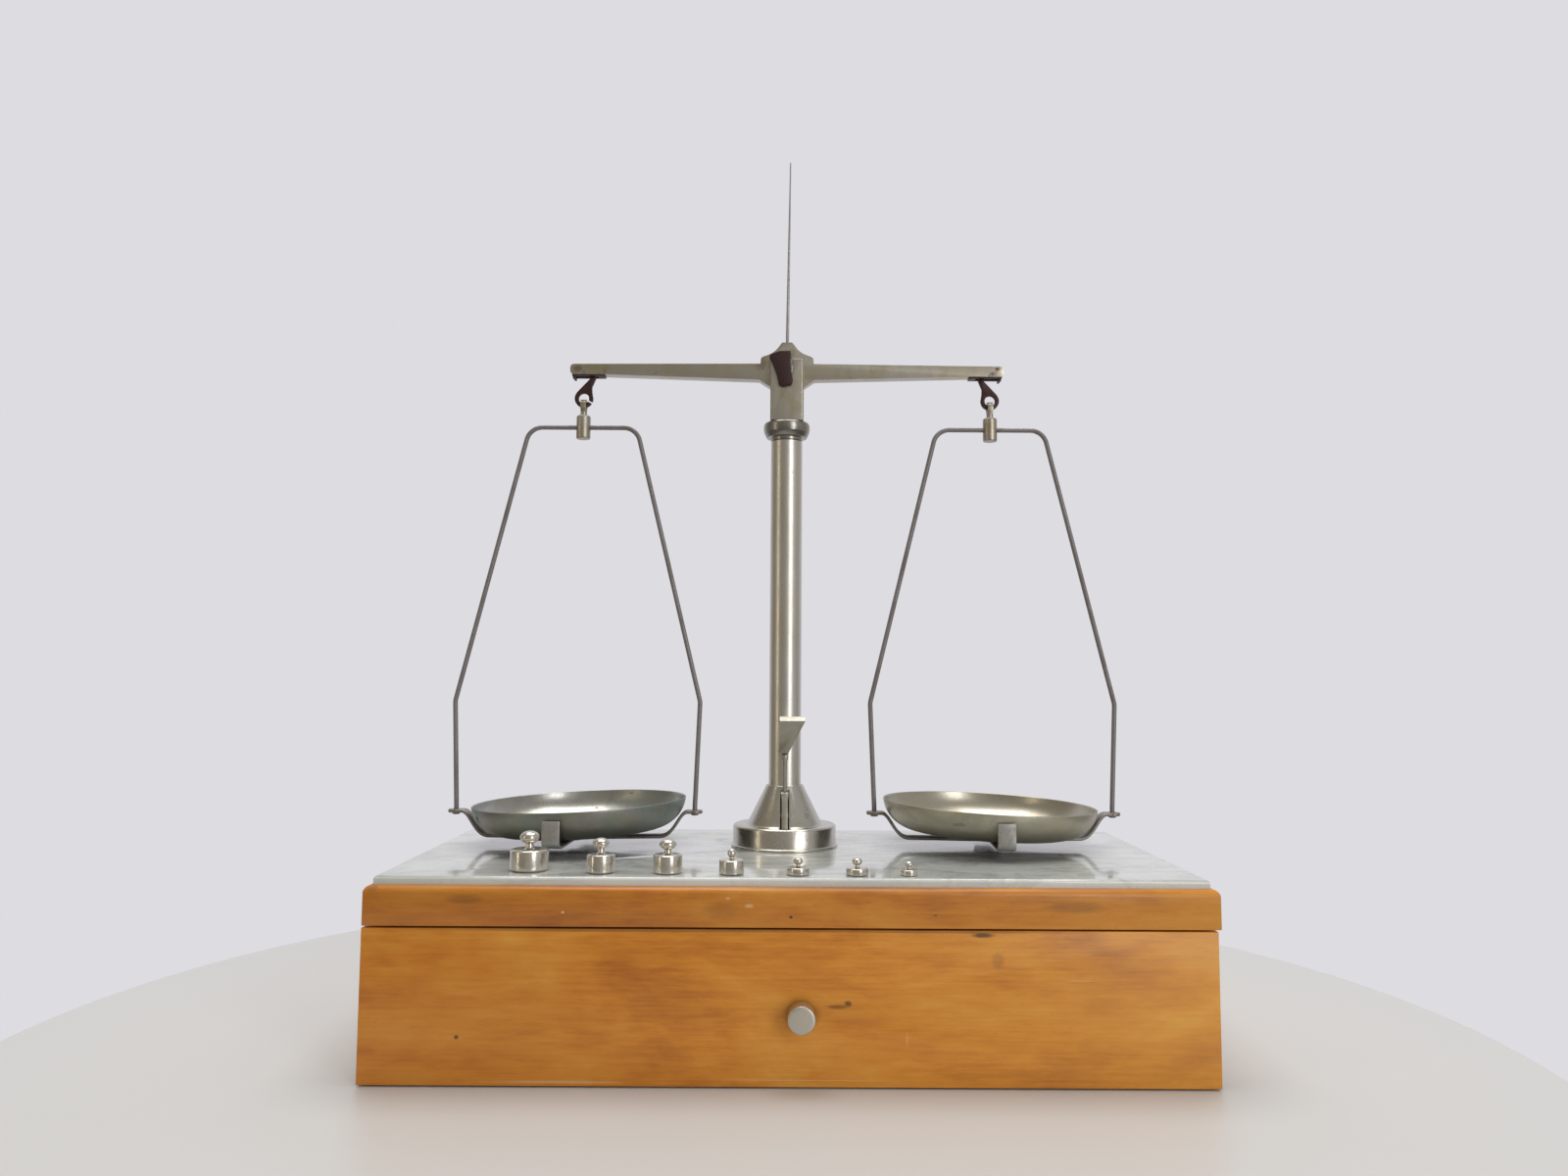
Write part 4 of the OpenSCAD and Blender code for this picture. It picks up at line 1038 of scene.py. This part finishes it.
@dataclass
class PanHanger:
    """One side's hook, swivel, stirrup, cradle and pan, with sizes in millimetres."""

    side: Side
    sheet: Finish
    arm_turn: float
    boss_radius: float = 3.65
    boss_height: float = 12.2
    boss_bore: float = 1.75
    boss_drop: float = 6.0
    wire_radius: float = 1.2
    half_width: float = 62.5
    eyelet_half: float = 60.5
    top_half: float = 27.8
    wire_z: float = 298.8
    knee_z: float = 157.0
    eyelet_z: float = 100.6
    bend: float = 8.5
    knee_bend: float = 9.0
    strap_z: float = 87.8
    strap_thickness: float = 1.6
    strap_width: float = 7.4
    arm_thickness: float = 1.2
    arm_width: float = 8.4
    tab_y: float = 54.3
    tab_top_z: float = 103.0
    pan_radius: float = 53.5
    sheet_thickness: float = 0.8
    pan_z: float = 91.1
    pan_shift: float = -2.9
    mouth_z: float = 60.0
    wall_width: float = 15.5
    floor_radius: float = 726.0
    rim_angle: float = 82.0
    lean: float = 2.4

    def __post_init__(self) -> None:
        """Finds the hanger's own axis from its swivel."""
        spot = joint_place(self.side.named("stirrup_swivel"))
        self.axis = Vector((spot.x, spot.y, 0))

    def build(self) -> None:
        """Makes everything that hangs from one end of the beam."""
        for stem, finish, edge in (("pan_hook", BROWNED, 0.3), ("swivel_eye", FITTING_NICKEL, 0.25)):
            node = self.side.named(stem)
            softened(node, f"small_{node}", finish, edge, angle=24)
        self.boss()
        self.stirrup()
        self.strap()
        self.arms()
        self.rivet()
        self.pan()

    def _place(self, shape: Shape, stem: str, finish: Finish) -> None:
        """Puts a finished shape on the hanger's axis, turned for its side."""
        node = self.side.named(stem)
        shape.mirrored(self.side).placed(self.axis).piece(f"made_{node}", node, finish)

    def boss(self) -> None:
        """Turns the boss that the stirrup's wire passes through."""
        r, h, bore = self.boss_radius, self.boss_height, self.boss_bore
        base = self.wire_z - self.boss_drop
        profile = eased([(0, 0), (r - 0.2, 0), (r, 0.8), (r, h - 0.7), (r - 0.5, h), (bore, h),
                         (bore, h - 3.2)], 0.4)
        profile = [(x, z + base) for x, z in profile]
        self._place(Shape().turned(profile, segments=48), "swivel_boss", FITTING_NICKEL)

    def stirrup(self) -> None:
        """Bends the wire: over the top, out and down the flare, then straight down to its two heads."""
        flare = math.degrees(math.atan((self.half_width - self.top_half) / (self.wire_z - self.knee_z)))
        top_cut = self.bend * math.tan(math.radians(90 - flare) / 2)
        knee_cut = self.knee_bend * math.tan(math.radians(flare) / 2)
        half = [(0.5, self.wire_z), (12, self.wire_z),
                *arc((self.top_half - top_cut, self.wire_z - self.bend), self.bend, 90, flare, 16)]
        knee = arc((self.half_width - self.knee_bend, self.knee_z - knee_cut), self.knee_bend, flare, 0, 6)
        last, first = half[-1], knee[0]
        half += [(last[0] + (first[0] - last[0]) * t, last[1] + (first[1] - last[1]) * t)
                 for t in (0.2, 0.4, 0.6, 0.8)]
        half += [*knee, (self.eyelet_half, self.eyelet_z + 4), (self.eyelet_half, self.eyelet_z - 0.9)]
        section = arc((0, 0), self.wire_radius, 0, 337.5, 15)
        shape = Shape().swept(both_ways(half), section)
        head = eased([(0, 0), (1.5, 0), (1.9, 0.35), (1.9, 0.7), (1.3, 1.0), (0, 1.0)], 0.2)
        for way in (-1, 1):
            foot = Shape().turned(head, segments=24)
            shape.merged(foot.moved(Matrix.Translation((way * self.eyelet_half, 0, self.eyelet_z - 1.0))))
        self._place(shape, "stirrup_wire", WIRE)

    def strap(self) -> None:
        """Bends the long strap and adds the two eyelets that the wire stands in."""
        z, out_z = self.strap_z + self.strap_thickness / 2, self.eyelet_z + self.strap_thickness / 2
        half = [(0.4, z), (4.2, z), (5.0, z),
                *bow((43.5, z + 0.6), (50.5, z + 1), (52.5, out_z), (self.eyelet_half - 3.5, out_z), 18),
                (self.eyelet_half, out_z)]
        shape = Shape().swept(both_ways(half), rounded_strip(self.strap_width, self.strap_thickness, 0.5))
        ring = eased([(1.3, 0), (3.9, 0), (3.9, self.strap_thickness), (1.3, self.strap_thickness)], 0.3)
        for way in (-1, 1):
            eye = Shape().turned(ring, segments=40, closed=True)
            shape.merged(eye.moved(Matrix.Translation((way * self.eyelet_half, 0, self.eyelet_z))))
        self._place(shape, "cradle_strap", CRADLE)

    def arms(self) -> None:
        """Bends the cross arm, whose two upright tabs hold the pan."""
        z = self.strap_z + self.strap_thickness + self.arm_thickness / 2
        y = self.tab_y
        half = [(0.4, z), (4.5, z), (y - 9, z + 0.2),
                *bow((y - 6, z + 0.3), (y - 1.5, z + 0.6), (y, z + 2), (y, z + 5), 12),
                (y, self.tab_top_z - 2.2), (y - 0.1, self.tab_top_z - 1.0), (y - 0.4, self.tab_top_z - 0.2)]
        shape = Shape().swept(both_ways(half), rounded_strip(self.arm_width, self.arm_thickness, 0.45))
        turn = Matrix.Rotation(math.radians(90 + self.arm_turn), 4, "Z")
        self._place(shape.moved(turn), "cradle_arm", CRADLE_ARM)

    def rivet(self) -> None:
        """Turns the rivet that holds strap and arm together."""
        profile = eased([(0, -0.7), (3.0, -0.7), (3.8, -0.15), (3.8, 0), (1.6, 0), (1.6, 2.6), (1.2, 2.9),
                         (0, 2.9)], 0.3)
        profile = [(r, z + self.strap_z) for r, z in profile]
        self._place(Shape().turned(profile, segments=40), "cradle_rivet", CRADLE)

    def _bowl(self, grow: float, steps: int) -> list[Pair]:
        """The bowl's section, on its outer face or, grown by the sheet, on its inner one."""
        flat = self.pan_radius - self.wall_width
        low = math.asin(flat / self.floor_radius)
        side_radius = self.wall_width / (math.sin(math.radians(self.rim_angle)) - math.sin(low))
        middle = (flat - side_radius * math.sin(low),
                  self.floor_radius - (self.floor_radius - side_radius) * math.cos(low))
        low = math.degrees(low)
        floor = arc((0, self.floor_radius), self.floor_radius - grow, -90, -90 + low, steps)
        wall = arc(middle, side_radius - grow, -90 + low + 2, -90 + self.rim_angle, steps * 2)
        return floor + wall

    def pan(self) -> None:
        """Turns the bowl with a rounded rim and tips it a little to the outer side."""
        outer, inner = self._bowl(0.0, 14), self._bowl(self.sheet_thickness, 14)
        rim = Vector(outer[-1]).lerp(Vector(inner[-1]), 0.5)
        tilt = self.rim_angle - 90
        edge = arc(tuple(rim), self.sheet_thickness / 2, tilt + 20, tilt + 160, 5)
        profile = [*outer, *edge, *reversed(inner)]
        shape = Shape().turned(profile, segments=128)
        shape.marked_inside(Vector((0, 0, self.mouth_z)))
        tip = Matrix.Rotation(math.radians(self.lean), 4, "Y")
        shape.moved(Matrix.Translation((self.pan_shift, 0, self.pan_z)) @ tip)
        self._place(shape, "pan", self.sheet)


@dataclass(frozen=True)
class GramWeight:
    """One turned weight, with its sizes in millimetres."""

    node: str
    diameter: float
    body: float
    knob_diameter: float
    knob_height: float
    height: float

    def build(self) -> None:
        """Turns the drum, the waisted neck and the button on top."""
        r, k = self.diameter / 2, self.knob_diameter / 2
        neck = max(0.8, k * 0.4)
        edge = 0.045 * self.diameter
        wide = self.height - self.knob_height * 0.52
        low = self.height - self.knob_height
        shoulder = self.body + 0.3
        drum = [(0, 0), (r - edge, 0), (r, edge), (r, self.body - edge * 0.8), (r - edge * 0.9, self.body),
                (neck + edge + 0.6, self.body + 0.05), (neck + 0.25, shoulder), (neck, shoulder + 0.5)]
        button = arc((0, wide), 1.0, -62, 90, 14)
        button = [(k * x, wide + (self.height - wide) * (z - wide)) for x, z in button]
        profile = [*eased(drum, edge * 0.7), (neck, max(low, shoulder + 0.6)), *button[:-1], (0, self.height)]
        box_low, box_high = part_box(self.node)
        spot = Vector(((box_low.x + box_high.x) / 2, (box_low.y + box_high.y) / 2, box_low.z))
        shape = Shape().turned(profile, segments=72).placed(spot)
        shape.piece(f"turned_{self.node}", self.node, WEIGHT_NICKEL, crease=50)


@dataclass
class WeightSet:
    """The seven weights that stand along the front of the marble."""

    weights: tuple[GramWeight, ...] = (
        GramWeight("weight_20g", 16.6, 9.2, 8.6, 5.4, 17.0),
        GramWeight("weight_10g_left", 12.2, 8.0, 7.2, 4.4, 14.8),
        GramWeight("weight_10g_right", 12.4, 8.0, 7.4, 4.6, 14.6),
        GramWeight("weight_5g", 10.7, 6.2, 3.7, 3.7, 10.7),
        GramWeight("weight_2g_left", 9.7, 3.3, 4.2, 3.2, 7.4),
        GramWeight("weight_2g_right", 9.6, 3.1, 4.3, 3.2, 7.4),
        GramWeight("weight_1g", 7.3, 2.6, 3.4, 2.6, 6.0))

    def build(self) -> None:
        """Makes each weight."""
        for weight in self.weights:
            weight.build()


# ---- Studio ----


@dataclass(frozen=True)
class SoftLight:
    """An area light: where it hangs, what it faces, its size, power and colour."""

    name: str
    place: Triple
    target: Triple
    size: Pair
    power: float
    colour: Colour = (1.0, 1.0, 1.0)

    def build(self) -> None:
        """Hangs the light."""
        lamp = bpy.data.lights.new(self.name, "AREA")
        lamp.shape = "RECTANGLE"
        lamp.size, lamp.size_y = self.size
        lamp.energy = self.power
        lamp.color = self.colour
        made = linked(self.name, lamp)
        made.location = self.place
        aim = Vector(self.target) - Vector(self.place)
        made.rotation_euler = aim.to_track_quat("-Z", "Y").to_euler()


@dataclass
class Studio:
    """The pale floor, the soft light and the camera."""

    floor_radius: float = 0.35
    floor_centre: Pair = (-0.015, -0.012)
    floor_thickness: float = 0.02
    floor_gap: float = 0.0002
    wall: Colour = (0.725, 0.715, 0.755)
    dim_side: Colour = (0.31, 0.285, 0.245)
    light_side: Colour = (0.50, 0.49, 0.465)
    ceiling: Colour = (0.42, 0.41, 0.37)
    ground: Colour = (0.17, 0.16, 0.145)
    camera_place: Triple = (-0.0055, -0.5608, 0.1689)
    yaw: float = 0.154
    pitch: float = 4.609
    roll: float = 0.344
    lens: float = 25.86
    sensor: float = 36.0
    clip: Pair = (0.01, 20.0)
    lights: tuple[SoftLight, ...] = (
        SoftLight("window", (0.95, -1.35, 0.5), (0, 0, 0.2), (0.5, 1.2), 7.6),
        SoftLight("lamp", (-1.25, -0.7, 0.45), (0, 0, 0.2), (0.14, 1.2), 1.5, (1.0, 0.87, 0.62)),
        SoftLight("overhead", (0.0, 0.15, 1.6), (0, 0, 0.0), (1.3, 0.9), 18.0, (1.0, 0.99, 0.97)))

    def build(self) -> None:
        """Makes the floor, the surroundings, the lights and the camera."""
        self.floor()
        self.surroundings()
        for light in self.lights:
            light.build()
        self.camera()

    def floor(self) -> None:
        """A plain pale disc to stand on."""
        bm = bmesh.new()
        bmesh.ops.create_circle(bm, cap_ends=True, radius=self.floor_radius, segments=256)
        grown = bmesh.ops.extrude_face_region(bm, geom=bm.faces[:])["geom"]
        bmesh.ops.translate(bm, vec=(0, 0, -self.floor_thickness),
                            verts=[g for g in grown if isinstance(g, bmesh.types.BMVert)])
        bmesh.ops.translate(bm, vec=(*self.floor_centre, -self.floor_gap), verts=bm.verts[:])
        bmesh.ops.recalc_face_normals(bm, faces=bm.faces[:])
        mesh = bpy.data.meshes.new("floor")
        bm.to_mesh(mesh)
        bm.free()
        mesh.materials.append(PlainPaint("floor").material())
        linked("floor", mesh)

    def surroundings(self) -> None:
        """A pale wall ahead, a dim room behind the camera that is lighter on its right, and a dark ground."""
        world = bpy.data.worlds.new("surroundings")
        bpy.context.scene.world = world
        world.use_nodes = True
        sky = Graph(world.node_tree, GENERATED)
        colour: Union[Value, Colour] = self.dim_side
        for axis, low, high, far in ((0, -0.7, 0.8, self.light_side), (2, 0.55, 1.0, self.ceiling),
                                     (2, -0.02, -0.4, self.ground), (1, 0.4, 0.68, self.wall)):
            colour = sky.mix(sky.axis(axis).rising(low, high), colour, far)
        sky.add("ShaderNodeOutputWorld", {}, {0: sky.node("ShaderNodeBackground", {}, {0: colour})})
        bpy.context.scene.view_settings.view_transform = "Standard"

    def camera(self) -> None:
        """Stands the camera a little above the case, looking slightly up."""
        lens = bpy.data.cameras.new("camera")
        lens.lens = self.lens
        lens.sensor_width = self.sensor
        lens.clip_start, lens.clip_end = self.clip
        made = linked("camera", lens)
        turn = Matrix.Rotation(math.radians(-self.yaw), 4, "Z") @ Matrix.Rotation(
            math.radians(90 + self.pitch), 4, "X") @ Matrix.Rotation(math.radians(self.roll), 4, "Z")
        made.matrix_world = Matrix.Translation(self.camera_place) @ turn
        bpy.context.scene.camera = made


def main() -> None:
    """Builds every sub-assembly, then the studio."""
    logging.basicConfig(level=logging.INFO, format="%(name)s: %(message)s")
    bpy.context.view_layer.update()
    DrawerCase().build()
    Drawer().build()
    Column().build()
    Lever().build()
    LiftingHead().build()
    Beam().build()
    PanHanger(Side.LEFT, LEFT_SHEET, 1.7).build()
    PanHanger(Side.RIGHT, RIGHT_SHEET, -4.0).build()
    WeightSet().build()
    Studio().build()


if __name__ == "__main__":
    main()
